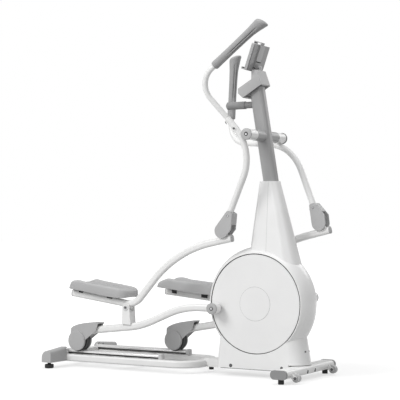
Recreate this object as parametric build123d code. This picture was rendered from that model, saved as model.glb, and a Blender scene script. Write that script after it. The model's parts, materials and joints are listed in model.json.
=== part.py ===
from build123d import *
import math
import os

# Elliptical trainer with front drive, built as separate pieces, in millimetres.
# The user faces +X, +Y is the user's left and +Z is up. The origin is on the floor,
# under the middle of the machine. At rest the right crank pin is at its rear dead
# centre, so the right leg parts are at the back of their stroke and the left ones
# at the front. "right" pieces are drawn in place; "left" ones are their mirror
# image, carried along the linkage to the other end of the stroke.

# ---- driving dimensions: drive train -----------------------------------------
CRANK_X = 408.0            # crank axis
CRANK_Z = 354.0
CRANK_R = 206.0            # crank pin circle
CRANK_REST = 187.35        # right pin angle from +X, towards +Z
DISC_R = 239.5             # crank disc
DISC_Y = 80.0              # outer face of the disc
DISC_T = 12.0
DISC_CAP_R = 82.0
SHAFT_R = 12.5
PULLEY_R = 130.0
BELT_Y = 50.0              # middle plane of the belt
FLY_X = 330.0
FLY_Z = 190.0
FLY_R = 105.0
FLY_Y = -34.0              # middle plane of the flywheel
FLY_T = 30.0
SMALL_PULLEY_R = 20.0
BELT_T = 3.0
FIT = 0.05                 # radial clearance of running fits

# ---- driving dimensions: leg linkage -----------------------------------------
ARM_LEN = 817.9            # crank pin to roller axle
ARM_Y = 133.0              # plane of the rails, rollers and rear of the arms
ARM_Y_FRONT = 120.0        # plane of the arm's crank end
ARM_Y_PIVOT = 136.0        # and of its middle, under the pedal arm's pivot
ARM_H = 38.0
ARM_W = 30.0
ARM_T = 36.0               # height of the pedal arm's tube
ARM_BEND = 450.0           # radius of the roller arm's bends
PEDAL_BENDS = (100.0, 600.0)   # radii of the pedal arm's bends
RAIL_Z = 77.0
RAIL_R = 12.4
ROLLER_Z = 136.0
ROLLER_R = 57.0
ROLLER_W = 31.0
COVER_HALF = 27.0          # middle of the roller cover to the outside of its walls
COVER_FACE = 33.0          # and to the face of its round caps
COVER_DISC_R = 51.0
PIVOT_ALONG = 335.6        # pedal arm pivot, along the roller arm from its axle
PIVOT_UP = 105.2           # and square to it
PEDAL_Y = 132.0            # plane of the pedal arm and lower handlebar
PEDAL_MID = 104.0          # middle plane of the foot plate
PEDAL_HALF = 79.0
PEDAL_REAR = -624.0
PEDAL_FRONT = -279.0
TUBE_WALL = 2.0

# ---- driving dimensions: handlebars and mast ---------------------------------
BAR_X = 421.0              # handlebar axle
BAR_Z = 1168.5
BAR_LEN = 486.9            # axle to lower pivot
BAR_REST = -108.7          # right handlebar's lower pivot from +X, towards +Z
BAR_SWING = 47.96          # whole swing of a handlebar
BAR_R = 14.5
ELBOW = (190.0, -263.0, 1419.0)       # corner of the right bar's upper bend
BAR_TIP = (514.0, -254.0, 1670.0)     # end of the tube inside the grip
GRIP_COVER = 289.0         # length of tube inside the grip
MAST_FOOT = (465.0, 890.0)
MAST_TOP = (382.0, 1393.5)
MAST_L = 70.0
MAST_W = 55.0

# ---- driving dimensions: base and housing ------------------------------------
HALF_LEN = 712.0
HALF_WIDTH = 300.0
REAR_STAB_X = -685.0
FRONT_STAB_X = 632.0
FRONT_STAB_Z = 45.0
FRAME_Z = 46.0
LOOP_Y = 150.0
RAIL_START = REAR_STAB_X + 26.0
LOOP_X = 86.0
WHEEL_X = HALF_LEN - 20.0
WHEEL_Y = 203.0
WHEEL_Z = 28.0
WHEEL_R = 20.0
SHELL = 3.0
DRUM_R = 248.0
CROWN = 31.0
DRUM_HALF = 80.0
TOWER_SEAM_X = 455.0       # joint between the two parts of the tower
TOWER_ROUND = 0.8          # radius of its front corners, as a share of its half width

# ---- driving dimensions: console and tablet holder -----------------------------
CONSOLE_HALF = 47.5
PANEL_SLOPE = 29.6
LENS_AT = 343.0
BUTTON_AT = 313.0
CONSOLE = [(373, 1494), (402, 1492), (428, 1420), (323, 1358), (297, 1381), (297, 1405), (371, 1447)]
HOLDER_LEAN = 19.5
HOLDER_FOOT = (359.0, 1489.0)
HOLDER_HALF = 82.0
HOLDER_H = 135.0
CLIP_UP = 8.0              # clip's hook above the holder's top edge
HINGE_X = 390.0
HINGE_Z = 1508.0
FIXED_GRIP_Z = 1326.0

# ---- linkage at rest ----------------------------------------------------------


def polar(x, z, radius, degrees):
    """Point at a radius and an angle, measured from +X towards +Z."""
    a = math.radians(degrees)
    return x + radius * math.cos(a), z + radius * math.sin(a)


def axle_x(pin):
    """Roller axle position on the rail for a crank pin position."""
    return pin[0] - math.sqrt(ARM_LEN ** 2 - (pin[1] - ROLLER_Z) ** 2)


def arm_tilt(pin):
    """Angle of the line from the roller axle to the crank pin."""
    return math.degrees(math.asin((pin[1] - ROLLER_Z) / ARM_LEN))


def pivot_point(pin):
    """Pedal arm pivot for a crank pin position."""
    x, z = polar(axle_x(pin), ROLLER_Z, PIVOT_ALONG, arm_tilt(pin))
    return polar(x, z, PIVOT_UP, arm_tilt(pin) + 90)


PIN_R = polar(CRANK_X, CRANK_Z, CRANK_R, CRANK_REST)
PIN_L = polar(CRANK_X, CRANK_Z, CRANK_R, CRANK_REST - 180)
AXLE_R = axle_x(PIN_R)
AXLE_L = axle_x(PIN_L)
STROKE = AXLE_L - AXLE_R
TILT = arm_tilt(PIN_L) - arm_tilt(PIN_R)
PIVOT_R = pivot_point(PIN_R)
PIVOT_L = pivot_point(PIN_L)
LOWER_R = polar(BAR_X, BAR_Z, BAR_LEN, BAR_REST)
LOWER_L = polar(BAR_X, BAR_Z, BAR_LEN, BAR_REST + BAR_SWING)
PEDAL_ANGLE_R = math.degrees(math.atan2(LOWER_R[1] - PIVOT_R[1], LOWER_R[0] - PIVOT_R[0]))
PEDAL_ANGLE_L = math.degrees(math.atan2(LOWER_L[1] - PIVOT_L[1], LOWER_L[0] - PIVOT_L[0]))

# ---- small shape helpers --------------------------------------------------------


def rod(radius, a, b, x, z):
    """Round bar along Y between y=a and y=b."""
    length = abs(b - a)
    return Pos(x, (a + b) / 2, z) * Rot(90, 0, 0) * Cylinder(radius, length)


def tube_y(outer, inner, a, b, x, z):
    """Round tube along Y."""
    return rod(outer, a, b, x, z) - rod(inner, a - 1, b + 1, x, z)


def post(radius, x, y, z0, z1):
    """Round bar along Z."""
    return Pos(x, y, (z0 + z1) / 2) * Cylinder(radius, z1 - z0)


def block(x0, x1, y0, y1, z0, z1):
    """Box between two corners."""
    return Pos((x0 + x1) / 2, (y0 + y1) / 2, (z0 + z1) / 2) * Box(x1 - x0, y1 - y0, z1 - z0)


def slab(points, y0, y1):
    """Outline in X and Z, given as points, made solid between y0 and y1."""
    face = Plane.XZ * make_face(Polyline(*points, close=True))
    return Pos(0, y0, 0) * extrude(face, -(y1 - y0))


def along(path, section):
    """Section swept from the start of a path."""
    start = Plane(origin=path @ 0, z_dir=path % 0, x_dir=(0, 1, 0))
    return sweep(start * section, path=path)


def oval(width, height, wall, corner):
    """Hollow section with round corners; its width lies along Y."""
    outer = RectangleRounded(width, height, corner)
    return outer - RectangleRounded(width - 2 * wall, height - 2 * wall, corner - wall)


def ring(radius, wall):
    return Circle(radius) - Circle(radius - wall)


def mirrored(shape):
    return mirror(shape, about=Plane.XZ)


def turned(shape, x, z, degrees):
    """Turn by an angle from +X towards +Z about an axis along Y."""
    return shape.rotate(Axis((x, 0, z), (0, 1, 0)), -degrees)


def moved_x(shape, distance):
    return Pos(distance, 0, 0) * shape


def write(node, *solids):
    """One STEP file for each node."""
    whole = solids[0] if len(solids) == 1 else Compound(children=list(solids))
    export_step(whole, f"parts/{node}.step")


# ---- base frame -----------------------------------------------------------------


def main_frame():
    """Centre tube, leaning post, crank upright and bearing tube, welded together."""
    front = FRONT_STAB_X - 40
    centre = block(96, front, -30, 30, 30, 72) - block(98, front - 2, -28, 28, 32, 70)
    lean = (MAST_FOOT[0] - MAST_TOP[0]) / (MAST_TOP[1] - MAST_FOOT[1])
    foot_x = MAST_FOOT[0] + (MAST_FOOT[1] - 112) * lean
    post_line = Line((foot_x, 0, 112), (MAST_FOOT[0] - 54 * lean, 0, MAST_FOOT[1] + 54))
    leaning = along(post_line, oval(46, 58, 2.5, 14))
    gusset = block(530, 594, -20, 20, 71, 140)
    upright = block(390, 426, -14, 14, 71, 345) - block(393, 423, -11, 11, 71, 346)
    brace = block(422, 560, -12, 12, 344, 368) - block(425, 556, -9, 9, 347, 365)
    bearing = tube_y(31, 26, -44, 44, CRANK_X, CRANK_Z)
    bore = rod(26, -60, 60, CRANK_X, CRANK_Z)
    foot = block(306, 354, -56, 58, 72, 78)
    plate_r = slab([(306, 76), (354, 76), (342, 205), (318, 205)], -56, -52)
    plate_l = slab([(306, 76), (354, 76), (342, 205), (318, 205)], 54, 58)
    axle_hole = rod(8.5, -70, 70, FLY_X, FLY_Z)
    crank_stand = upright + brace - bore + bearing
    flywheel_stand = foot + (plate_r + plate_l - axle_hole)
    return centre + leaning + gusset + crank_stand + flywheel_stand


def rear_frame():
    """Rounded loop of oval tube that carries the rails."""
    corners = [(RAIL_START, -LOOP_Y, FRAME_Z), (LOOP_X, -LOOP_Y, FRAME_Z),
               (LOOP_X, LOOP_Y, FRAME_Z), (RAIL_START, LOOP_Y, FRAME_Z)]
    path = FilletPolyline(*corners, radius=110)
    loop = along(path, oval(40, 36, TUBE_WALL, 9))
    bar = block(-330, -290, -131, 131, 38, 62) - block(-327, -293, -132, 132, 41, 59)
    return loop + bar - block(94, 120, -30, 30, 29, 73)


def rail_bar(side, radius, x0, x1):
    return Pos((x0 + x1) / 2, side * ARM_Y, RAIL_Z) * Rot(0, 90, 0) * Cylinder(radius, x1 - x0)


def rail(side):
    """Chrome tube that the roller runs on."""
    return rail_bar(side, RAIL_R, RAIL_START, -88) - rail_bar(side, RAIL_R - 2.5, RAIL_START - 1, -87)


def rail_clamp(side):
    """Grey block that holds the front end of a rail on the loop."""
    body = block(-101, -82, side * ARM_Y - 14, side * ARM_Y + 14, 64, 92)
    body = fillet(body.edges().group_by(Axis.Z)[-1], 6)
    return body - rail_bar(side, RAIL_R, -130, -88)


def rear_stabiliser():
    outer = block(REAR_STAB_X - 20, REAR_STAB_X + 20, -286, 286, 36, 76)
    inner = block(REAR_STAB_X - 18, REAR_STAB_X + 18, -287, 287, 38, 74)
    tube = outer - inner
    saddle_r = block(REAR_STAB_X + 20, RAIL_START, -168, -119, 30, 90)
    return tube + saddle_r + mirrored(saddle_r)


def rear_cover():
    """Right end cover: a hump that rises inwards, its top edges well rounded."""
    sections = []
    for y, rear_top, front, top in ((-HALF_WIDTH, 56, -656, 88), (-160, 68, -650, 101)):
        back = ThreePointArc((-692, top - 1), (-HALF_LEN + 9.4, top - 9), (-HALF_LEN, rear_top))
        walls = Polyline((-HALF_LEN, rear_top), (-HALF_LEN, 31), (front, 30), (front, top - 14))
        nose = ThreePointArc((front, top - 14), (front - 5, top - 4), (front - 18, top))
        crest = Line((front - 18, top), (-692, top - 1))
        outline = make_face([*walls.edges(), nose, crest, back])
        sections.append(Pos(0, y, 0) * Rot(90, 0, 0) * outline)
    body = loft(sections, ruled=True)
    channel = block(REAR_STAB_X - 20.3, REAR_STAB_X + 20.3, -286.3, -150, 30.5, 76.3)
    mouth = block(REAR_STAB_X - 14, REAR_STAB_X + 14, -286.3, -150, 0, 40)
    front_slot = block(REAR_STAB_X, -640, -170.5, -150, 0, 94)
    return body - channel - mouth - front_slot


def rear_foot(side):
    """Levelling foot: rubber pad under a threaded stem."""
    y = side * 272
    pad = fillet(post(23, REAR_STAB_X, y, 0, 20).edges(), 4)
    return pad + post(9, REAR_STAB_X, y, 19, 27) + post(5, REAR_STAB_X, y, 25, 35.6)


def rubber_feet():
    """Two plug feet under the front stabiliser and one under the centre tube."""
    front = post(14, FRONT_STAB_X - 2, -241, 0, 25)
    middle = post(12, 120, 0, 14, 30)
    return front, mirrored(front), middle


def front_stabiliser():
    """Flat oval tube with two welded ears for the transport wheels."""
    path = Line((FRONT_STAB_X, -262, FRONT_STAB_Z), (FRONT_STAB_X, 262, FRONT_STAB_Z))
    start = Plane(origin=path @ 0, z_dir=path % 0, x_dir=(1, 0, 0))
    tube = sweep(start * oval(80, 40, TUBE_WALL, 19), path=path)
    for side in (-1, 1):
        for ear in (-1, 1):
            y = side * WHEEL_Y + ear * 15.5
            outline = [(660, 52), (672, 52), (699, 36), (699, 20), (683, 20), (660, 34)]
            plate = slab(outline, y - 1.5, y + 1.5) - rod(4.2, y - 3, y + 3, WHEEL_X, WHEEL_Z)
            tube += plate - block(650, 671, y - 3, y + 3, 26.8, 63)
    return tube


def front_end_cap():
    path = Line((FRONT_STAB_X, -274, FRONT_STAB_Z), (FRONT_STAB_X, -262, FRONT_STAB_Z))
    start = Plane(origin=path @ 0, z_dir=path % 0, x_dir=(1, 0, 0))
    cap = sweep(start * RectangleRounded(85, 43, 20), path=path)
    spigot = Line((FRONT_STAB_X, -263, FRONT_STAB_Z), (FRONT_STAB_X, -246, FRONT_STAB_Z))
    start = Plane(origin=spigot @ 0, z_dir=spigot % 0, x_dir=(1, 0, 0))
    return cap + sweep(start * RectangleRounded(75.8, 35.8, 17), path=spigot)


def transport_wheel(side):
    y = side * WHEEL_Y
    wheel = tube_y(WHEEL_R, 4 + FIT, y - 11, y + 11, WHEEL_X, WHEEL_Z)
    rims = wheel.edges().filter_by(GeomType.CIRCLE).filter_by(lambda e: e.radius > 15)
    return fillet(rims, 2.5)


def transport_axle(side):
    y = side * WHEEL_Y
    heads = rod(7, y - 20, y - 17, WHEEL_X, WHEEL_Z) + rod(7, y + 17, y + 20, WHEEL_X, WHEEL_Z)
    return heads + rod(4, y - 17.2, y + 17.2, WHEEL_X, WHEEL_Z)


# ---- housing ---------------------------------------------------------------------


def drum(radius, crown, half):
    """Crowned round body about the crank axis."""
    a = (radius, -half)
    b = (radius + crown, 0)
    c = (radius, half)
    outline = make_face([ThreePointArc(a, b, c), Line(c, (0, half)), Line((0, half), (0, -half)),
                         Line((0, -half), a)])
    body = revolve(Plane.XY * outline, Axis.Y)
    return Pos(CRANK_X, 0, CRANK_Z) * body


def foot_plan(z, rear, front, half, grow):
    """Plan of the housing's foot: round nose, small radii at the rear."""
    nose = half - 2 + grow
    circles = Pos(front - half + 2, 0) * Circle(nose)
    for side in (-1, 1):
        circles += Pos(rear + 30, side * (half - 30)) * Circle(30 + grow)
    return Pos(0, 0, z) * make_hull(circles.edges())


def foot_body(grow):
    low = foot_plan(37 - grow / 2, 192, 668, 87, grow)
    high = foot_plan(215, 208, 637, 82, grow)
    return loft([low, high])


def housing_outer():
    stabiliser_gap = block(588, 700, -120, 120, 0, 68)
    return drum(DRUM_R, CROWN, DRUM_HALF) + foot_body(0) - stabiliser_gap


def housing_inner():
    inner = drum(DRUM_R - SHELL, CROWN, DRUM_HALF - SHELL) & block(0, 900, -62, 62, 0, 800)
    gap = block(585, 720, -130, 130, 0, 71)
    recess_wall = block(0, 900, -62, 62, 0, 183)
    side_room = foot_body(-SHELL) & (block(0, 900, -79, 79, 20, 110) + recess_wall)
    return inner + (side_room - gap)


def housing():
    """Right half of the housing, hollow, with a recess for the crank disc."""
    body = housing_outer() - housing_inner()
    body -= rod(DISC_R + 3, -90, -DISC_Y + DISC_T + 3, CRANK_X, CRANK_Z)
    body -= rod(34, -90, 0, CRANK_X, CRANK_Z)
    body -= tower_plan_solid(-SHELL)
    body -= block(100, 597, -30.5, 30.5, 20, 72.5)
    body &= block(0, 900, -200, 0, 0, 900)
    return body


def tower_section(z, x0, x1, half, grow):
    """Eight-sided plan of the tower, long facets at the sides and a well rounded front."""
    cut = 0.42 * half
    nose = 0.30 * half
    a = x0 - grow
    b = x1 + grow
    h = half + grow
    points = [(a + nose, -h), (b - cut * 1.6, -h), (b, -h + cut), (b, h - cut),
              (b - cut * 1.6, h), (a + nose, h), (a, h - cut * 0.8), (a, -h + cut * 0.8)]
    plan = make_face(Polyline(*points, close=True))
    front = plan.vertices().filter_by(lambda v: v.X > b - cut * 1.7)
    return Pos(0, 0, z) * fillet(front, TOWER_ROUND * half + grow)


def tower_plan_solid(grow):
    low = tower_section(520, 352, 617, 72, grow)
    high = tower_section(948, 407, 500, 38, grow)
    return loft([low, high])


def tower():
    """Tapered shroud over the post; the mast comes out of its top."""
    body = tower_plan_solid(0) - tower_plan_solid(-SHELL) - drum(DRUM_R + 0.3, CROWN, DRUM_HALF + 0.3)
    lid = tower_plan_solid(-1) & block(300, 700, -80, 80, 945, 948)
    mast_gap = along(mast_line(0.0, 1.0), RectangleRounded(MAST_W + 1, MAST_L + 1, 18.5))
    return body + lid - mast_gap


def tower_half(front):
    room = block(TOWER_SEAM_X, 800, -150, 150, 400, 1000)
    return tower() & room if front else tower() - room


# ---- drive train -------------------------------------------------------------------


def crank_shaft():
    """Shaft with keyed hubs that carry the discs."""
    shaft = rod(SHAFT_R, -71, 71, CRANK_X, CRANK_Z)
    for side in (-1, 1):
        a, b = sorted((side * 60.5, side * (DISC_Y - DISC_T)))
        shaft += rod(28, a, b, CRANK_X, CRANK_Z)
    return shaft


def crank_bearings():
    rings = []
    for side in (-1, 1):
        a, b = sorted((side * 30, side * 43))
        rings.append(tube_y(26, SHAFT_R + FIT, a, b, CRANK_X, CRANK_Z))
    return rings


def crank_pulley():
    """Driven pulley with six lightening holes, beside the bearing tube."""
    wheel = tube_y(PULLEY_R, SHAFT_R, BELT_Y - 4, BELT_Y + 10, CRANK_X, CRANK_Z)
    hole = rod(26, 40, 70, CRANK_X + 78, CRANK_Z)
    for k in range(6):
        wheel -= turned(hole, CRANK_X, CRANK_Z, 60 * k + 30)
    return wheel


def crank_disc(side):
    a, b = sorted((side * DISC_Y, side * (DISC_Y - DISC_T)))
    disc = rod(DISC_R, a, b, CRANK_X, CRANK_Z)
    rim_y = side * DISC_Y
    rim = disc.edges().filter_by(lambda e: e.geom_type == GeomType.CIRCLE and abs(e.center().Y - rim_y) < 0.1)
    disc = fillet(rim, 2)
    c, d = sorted((side * (DISC_Y - 4), side * (DISC_Y + 4)))
    disc -= rod(DISC_CAP_R, c, d, CRANK_X, CRANK_Z)
    e, f = sorted((side * (DISC_Y - DISC_T - 1), side * (DISC_Y - DISC_T + 3)))
    return disc - rod(SHAFT_R, e, f, CRANK_X, CRANK_Z)


def disc_cap(side):
    a, b = sorted((side * (DISC_Y - 4), side * (DISC_Y + 1)))
    return rod(DISC_CAP_R - 0.6, a, b, CRANK_X, CRANK_Z)


def crank_pin(side):
    pin = PIN_R if side < 0 else PIN_L
    a, b = sorted((side * DISC_Y, side * (ARM_Y_FRONT - 20.5)))
    c, d = sorted((side * DISC_Y, side * (DISC_Y + 5)))
    return rod(13, a, b, *pin) + rod(20, c, d, *pin)


def flywheel():
    """Heavy wheel with its small belt pulley, running on a fixed axle."""
    y0, y1 = FLY_Y - FLY_T / 2, FLY_Y + FLY_T / 2
    wheel = rod(FLY_R, y0, y1, FLY_X, FLY_Z)
    wheel -= tube_y(86, 34, y0 - 1, y0 + 8, FLY_X, FLY_Z)
    wheel -= tube_y(86, 34, y1 - 8, y1 + 1, FLY_X, FLY_Z)
    end = BELT_Y + 3
    hub = rod(17, y1 - 1, end, FLY_X, FLY_Z) + rod(SMALL_PULLEY_R, end - 9, end, FLY_X, FLY_Z)
    return wheel + hub - rod(8.5 + FIT, -80, 80, FLY_X, FLY_Z)


def belt_outline(extra):
    """Solid inside a line drawn round both pulleys, held off them by a margin."""
    circles = Pos(CRANK_X, CRANK_Z) * Circle(PULLEY_R + extra)
    circles += Pos(FLY_X, FLY_Z) * Circle(SMALL_PULLEY_R + extra)
    face = Plane.XZ * make_hull(circles.edges())
    return Pos(0, BELT_Y - 3, 0) * extrude(face, -6)


def drive_belt():
    """Flat belt round both pulleys, clear of them by a fraction of a millimetre."""
    gap = 0.3
    return belt_outline(gap + BELT_T) - belt_outline(gap)


def flywheel_axle():
    axle = rod(8.5, -58, 60, FLY_X, FLY_Z)
    return axle + rod(13, -60.5, -56, FLY_X, FLY_Z) + rod(13, 58, 61, FLY_X, FLY_Z)


# ---- leg linkage: right-hand shapes ---------------------------------------------


def roller_axle():
    return rod(8, -ARM_Y - 30, -ARM_Y + 30, AXLE_R, ROLLER_Z)


def roller_wheel():
    """Grooved polyurethane wheel that runs on the rail."""
    half = ROLLER_W / 2
    groove = RAIL_R + 0.3
    drop = ROLLER_Z - RAIL_Z
    lip_y = 11.5
    lip = drop - math.sqrt(groove ** 2 - lip_y ** 2)
    rim_y = 13.2
    bore = 8 + FIT
    tread = Polyline((lip, lip_y), (ROLLER_R, rim_y), (ROLLER_R, half), (bore, half), (bore, -half),
                     (ROLLER_R, -half), (ROLLER_R, -rim_y), (lip, -lip_y))
    rim = make_face([*tread.edges(), ThreePointArc((lip, -lip_y), (drop - groove, 0), (lip, lip_y))])
    return Pos(AXLE_R, -ARM_Y, ROLLER_Z) * revolve(Plane.XY * rim, Axis.Y)


def roller_arm():
    """S-bent oval tube with crank bush, roller fork and pedal pivot bracket."""
    x, z = PIN_R
    path = FilletPolyline((x - 26, -ARM_Y_FRONT, z + 1), (32, -123, 331.5), (-209, -ARM_Y_PIVOT, 226),
                          (-528, -ARM_Y, 190), radius=ARM_BEND)
    arm = along(path, oval(ARM_W, ARM_H, TUBE_WALL, 14))
    bush = rod(28, -ARM_Y_FRONT - 20, -ARM_Y_FRONT + 20, x, z)
    arm += bush - rod(14, -ARM_Y_FRONT - 14, -ARM_Y_FRONT + 30, x, z)
    for side in (-1, 1):
        a, b = sorted((-ARM_Y + side * 16.5, -ARM_Y + side * 21.5))
        cheek = slab([(-500, 178), (-500, 208), (-560, 206), (AXLE_R - 18, 150), (AXLE_R - 18, 122),
                      (AXLE_R + 18, 122)], a, b)
        c, d = sorted((-ARM_Y + side * (ARM_W / 2 - 1), -ARM_Y + side * 17))
        cheek += slab([(-500, 180), (-500, 206), (-526, 203), (-526, 177)], c, d)
        arm += cheek - rod(8 + FIT, a - 5, b + 5, AXLE_R, ROLLER_Z)
    return arm + pivot_bracket()


def pivot_bracket():
    """Channel on the roller arm: two cheeks and a front web."""
    x, z = PIVOT_R
    outline = [(x - 25, 233), (x + 27, 230), (x + 21, z), (x - 21, z)]
    web = slab([(x + 18, 234), (x + 27, 231), (x + 22, 298), (x + 16, 298)], -PEDAL_Y - 26, -PEDAL_Y + 26)
    base = slab([(x - 25, 233), (x + 27, 238), (x + 27, 242), (x - 25, 237)], -PEDAL_Y - 26, -PEDAL_Y + 26)
    cheeks = web + base
    for side in (-1, 1):
        y = -PEDAL_Y + side * 24
        cheeks += slab(outline, y - 2, y + 2) + rod(21, y - 2, y + 2, x, z)
    half_bore = ARM_W / 2 - TUBE_WALL
    room = block(-400, 0, -ARM_Y_PIVOT - half_bore, -ARM_Y_PIVOT + half_bore, 190, 235)
    return cheeks - rod(6, -200, 0, x, z) - room


def pivot_bolt():
    """Bolt through the bracket, with a round washer head and a nut."""
    x, z = PIVOT_R
    shank = rod(6, -PEDAL_Y - 30, -PEDAL_Y + 30, x, z)
    return shank + rod(11, -PEDAL_Y - 30, -PEDAL_Y - 26, x, z) + rod(10, -PEDAL_Y + 26, -PEDAL_Y + 33, x, z)


def roller_cover():
    """Two halves of the roller's cover, open at the front below, and the crank cap."""
    outline = [(-634, 160), (-630, 199), (-617, 209), (-587, 220), (-551, 227.5), (-497, 233), (-459, 233),
               (-456, 229.5), (-463, 224), (-469, 204), (-474, 189), (-510, 164), (-542, 140), (-560, 112)]
    room = [(-600, 105), (-600, 196), (-585, 209), (-521, 221), (-497, 226), (-430, 226), (-430, 105)]
    a = -ARM_Y
    halves = []
    for side in (-1, 1):
        y0, y1 = sorted((a, a + side * COVER_HALF))
        body = slab(outline, y0, y1) + rod(COVER_DISC_R - 3, y0, y1, AXLE_R, ROLLER_Z)
        y0, y1 = sorted((a + side * (COVER_HALF - 3), a + side * COVER_FACE))
        body += rod(COVER_DISC_R, y0, y1, AXLE_R, ROLLER_Z)
        y0, y1 = sorted((a, a + side * (COVER_HALF - 3)))
        body -= rod(ROLLER_R + 2, y0, y1, AXLE_R, ROLLER_Z) + slab(room, y0, y1)
        y0, y1 = sorted((a, a + side * (COVER_FACE - 2)))
        halves.append(body - rod(8 + FIT, y0, y1, AXLE_R, ROLLER_Z))
    x, z = PIN_R
    cap = rod(27.5, -ARM_Y_FRONT - 28, -ARM_Y_FRONT - 20, x, z)
    return halves + [cap]


def pedal_path():
    """Centre line of the pedal arm, from under the heel to the handlebar."""
    corners = [(-632, -PEDAL_Y, 380), (-251, -PEDAL_Y, 329.5), (-8, -PEDAL_Y, 605), (309, -PEDAL_Y, 671.4)]
    return FilletPolyline(*corners, radius=PEDAL_BENDS)


def pedal_arm():
    """Oval tube under the pedal that bends up to the handlebar."""
    x, z = PIVOT_R
    arm = along(pedal_path(), oval(ARM_W, ARM_T, TUBE_WALL, 13))
    lug_x, lug_z = LOWER_R
    lug = slab([(lug_x - 20, 667), (lug_x + 24, 677), (lug_x + 11, lug_z), (lug_x - 11, lug_z)],
               -PEDAL_Y - 12, -PEDAL_Y + 12)
    lug += rod(12, -PEDAL_Y - 13.5, -PEDAL_Y + 13.5, lug_x, lug_z)
    boss = rod(13, -PEDAL_Y - 21, -PEDAL_Y + 21, x, z)
    return arm + lug + boss - rod(6 + FIT, -PEDAL_Y - 30, -PEDAL_Y + 30, x, z)


def pedal_plan(inset):
    """Plan of the foot plate, made tall: big round corners in front, small behind."""
    length = PEDAL_FRONT - PEDAL_REAR - 2 * inset
    plan = Rectangle(length, 2 * (PEDAL_HALF - inset))
    plan = fillet(plan.vertices().group_by(Axis.X)[-1], 52 - inset)
    plan = fillet(plan.vertices().group_by(Axis.X)[0], 16 - inset)
    return Pos((PEDAL_REAR + PEDAL_FRONT) / 2, -PEDAL_MID, 300) * extrude(plan, 200)


def pedal():
    """Moulded foot plate with raised sides, hollow below, on two saddles."""
    y0 = -PEDAL_MID - PEDAL_HALF
    y1 = -PEDAL_MID + PEDAL_HALF
    side = [(-618, 409), (-624, 422), (-613, 440), (-595, 448), (-566, 450), (-538, 447), (-504, 442),
            (-347, 421), (-316, 412), (-292, 399), (PEDAL_FRONT, 383), (PEDAL_FRONT, 369), (-300, 364),
            (-347, 364.5)]
    tread = [(-608, 436), (-560, 434), (-504, 427), (-347, 406), (-288, 392), (-288, 470), (-608, 470)]
    hollow = [(-618, 340), (-618, 428), (-560, 428), (-504, 421), (-347, 400), (-298, 389), (-285, 376),
              (-285, 340)]
    body = slab(side, y0, y1) & pedal_plan(0)
    body -= slab(tread, y0, y1) & pedal_plan(9)
    body -= slab(hollow, y0, y1) & pedal_plan(5)
    for rear, front, top in ((-594, -563, 431), (-417, -379, 406)):
        body += block(rear, front, -PEDAL_Y - 14, -PEDAL_Y + 14, 345, top)
    room = along(pedal_path(), RectangleRounded(ARM_W + 0.2, ARM_T + 0.2, 13))
    under = slab([(-640, 300), (-640, 363), (-320, 321), (-320, 300)], -PEDAL_Y - 20, -PEDAL_Y + 20)
    return body - room - under


def handlebar():
    """Lower tube with fork and sleeve, and the upper tube that plugs into it."""
    lower_start = polar(*LOWER_R, 62, 68)
    joint = (318, -186, 1247)
    foot = (lower_start[0], -PEDAL_Y, lower_start[1])
    low_path = FilletPolyline(foot, (442, -157, 1090), joint, radius=225)
    lower = along(low_path, ring(BAR_R + 1, TUBE_WALL))
    lower += tube_y(26, 17.5 + FIT, -185, -112, BAR_X, BAR_Z)
    lower -= rod(17.5 + FIT, -190, -100, BAR_X, BAR_Z)
    for side in (-1, 1):
        y = -PEDAL_Y + side * 17
        plate = slab([(LOWER_R[0] - 12, LOWER_R[1]), (LOWER_R[0] + 12, LOWER_R[1]),
                      (lower_start[0] + 18, lower_start[1] + 22), (lower_start[0] - 8, lower_start[1] + 30)],
                     y - 2, y + 2)
        lower += plate + rod(12, y - 2, y + 2, *LOWER_R)
    up_path = FilletPolyline(joint, ELBOW, BAR_TIP, radius=105)
    upper = along(up_path, ring(BAR_R - 1, TUBE_WALL))
    return lower, upper


def grip():
    lean = (Vector(*BAR_TIP) - Vector(*ELBOW)).normalized()
    low = Vector(*BAR_TIP) - lean * GRIP_COVER
    outline = [(0, 0), (17.5, 0), (21, 10), (20, 120), (22, 235), (29, 308), (30, 324), (22, 333), (0, 333)]
    body = revolve(Plane.XZ * make_face(Polyline(*outline, close=True)), Axis.Z)
    hollow = Cylinder(BAR_R - 1, 2 * GRIP_COVER)
    frame = Plane(origin=low, z_dir=lean, x_dir=(0, 1, 0))
    return frame.location * (body - hollow)


def cover_outline():
    """Outline of the lower joint's cover: round below, straight in front, narrow on top."""
    x, z = LOWER_R
    corners = Circle(36)
    for dx, dz, radius in ((48, 8, 5), (52, 78, 8), (36, 88, 8)):
        corners += Pos(dx, dz) * Circle(radius)
    return Pos(x, z) * make_hull(corners.edges())


def handlebar_covers():
    """Cover over the lower pivot, in two halves, and the cap on the axle's end."""
    x, z = LOWER_R
    half = 27
    shell = extrude(Plane.XZ * cover_outline(), half, both=True)
    shell = Pos(0, -PEDAL_Y, 0) * shell
    front_wall = slab([(x + 49, z + 28), (x + 80, z + 28), (x + 80, z + 120), (x + 54, z + 120)],
                      -PEDAL_Y - 21, -PEDAL_Y + 21)
    room = block(x - 60, x + 90, -PEDAL_Y - 20.3, -PEDAL_Y + 20.3, z - 60, z + 120) - front_wall
    shell -= room
    start = polar(x, z, 40, 65)
    end = polar(x, z, 140, 65)
    shell -= along(Line((start[0], -PEDAL_Y, start[1]), (end[0], -PEDAL_Y, end[1])), Circle(BAR_R + 1.5))
    outer = shell & block(x - 60, x + 90, -PEDAL_Y - 40, -PEDAL_Y, z - 60, z + 120)
    inner = shell & block(x - 60, x + 90, -PEDAL_Y, -PEDAL_Y + 40, z - 60, z + 120)
    cap = rod(28, -192, -185.2, BAR_X, BAR_Z)
    return outer, inner, cap


# ---- mast, console and tablet holder -----------------------------------------------


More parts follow.
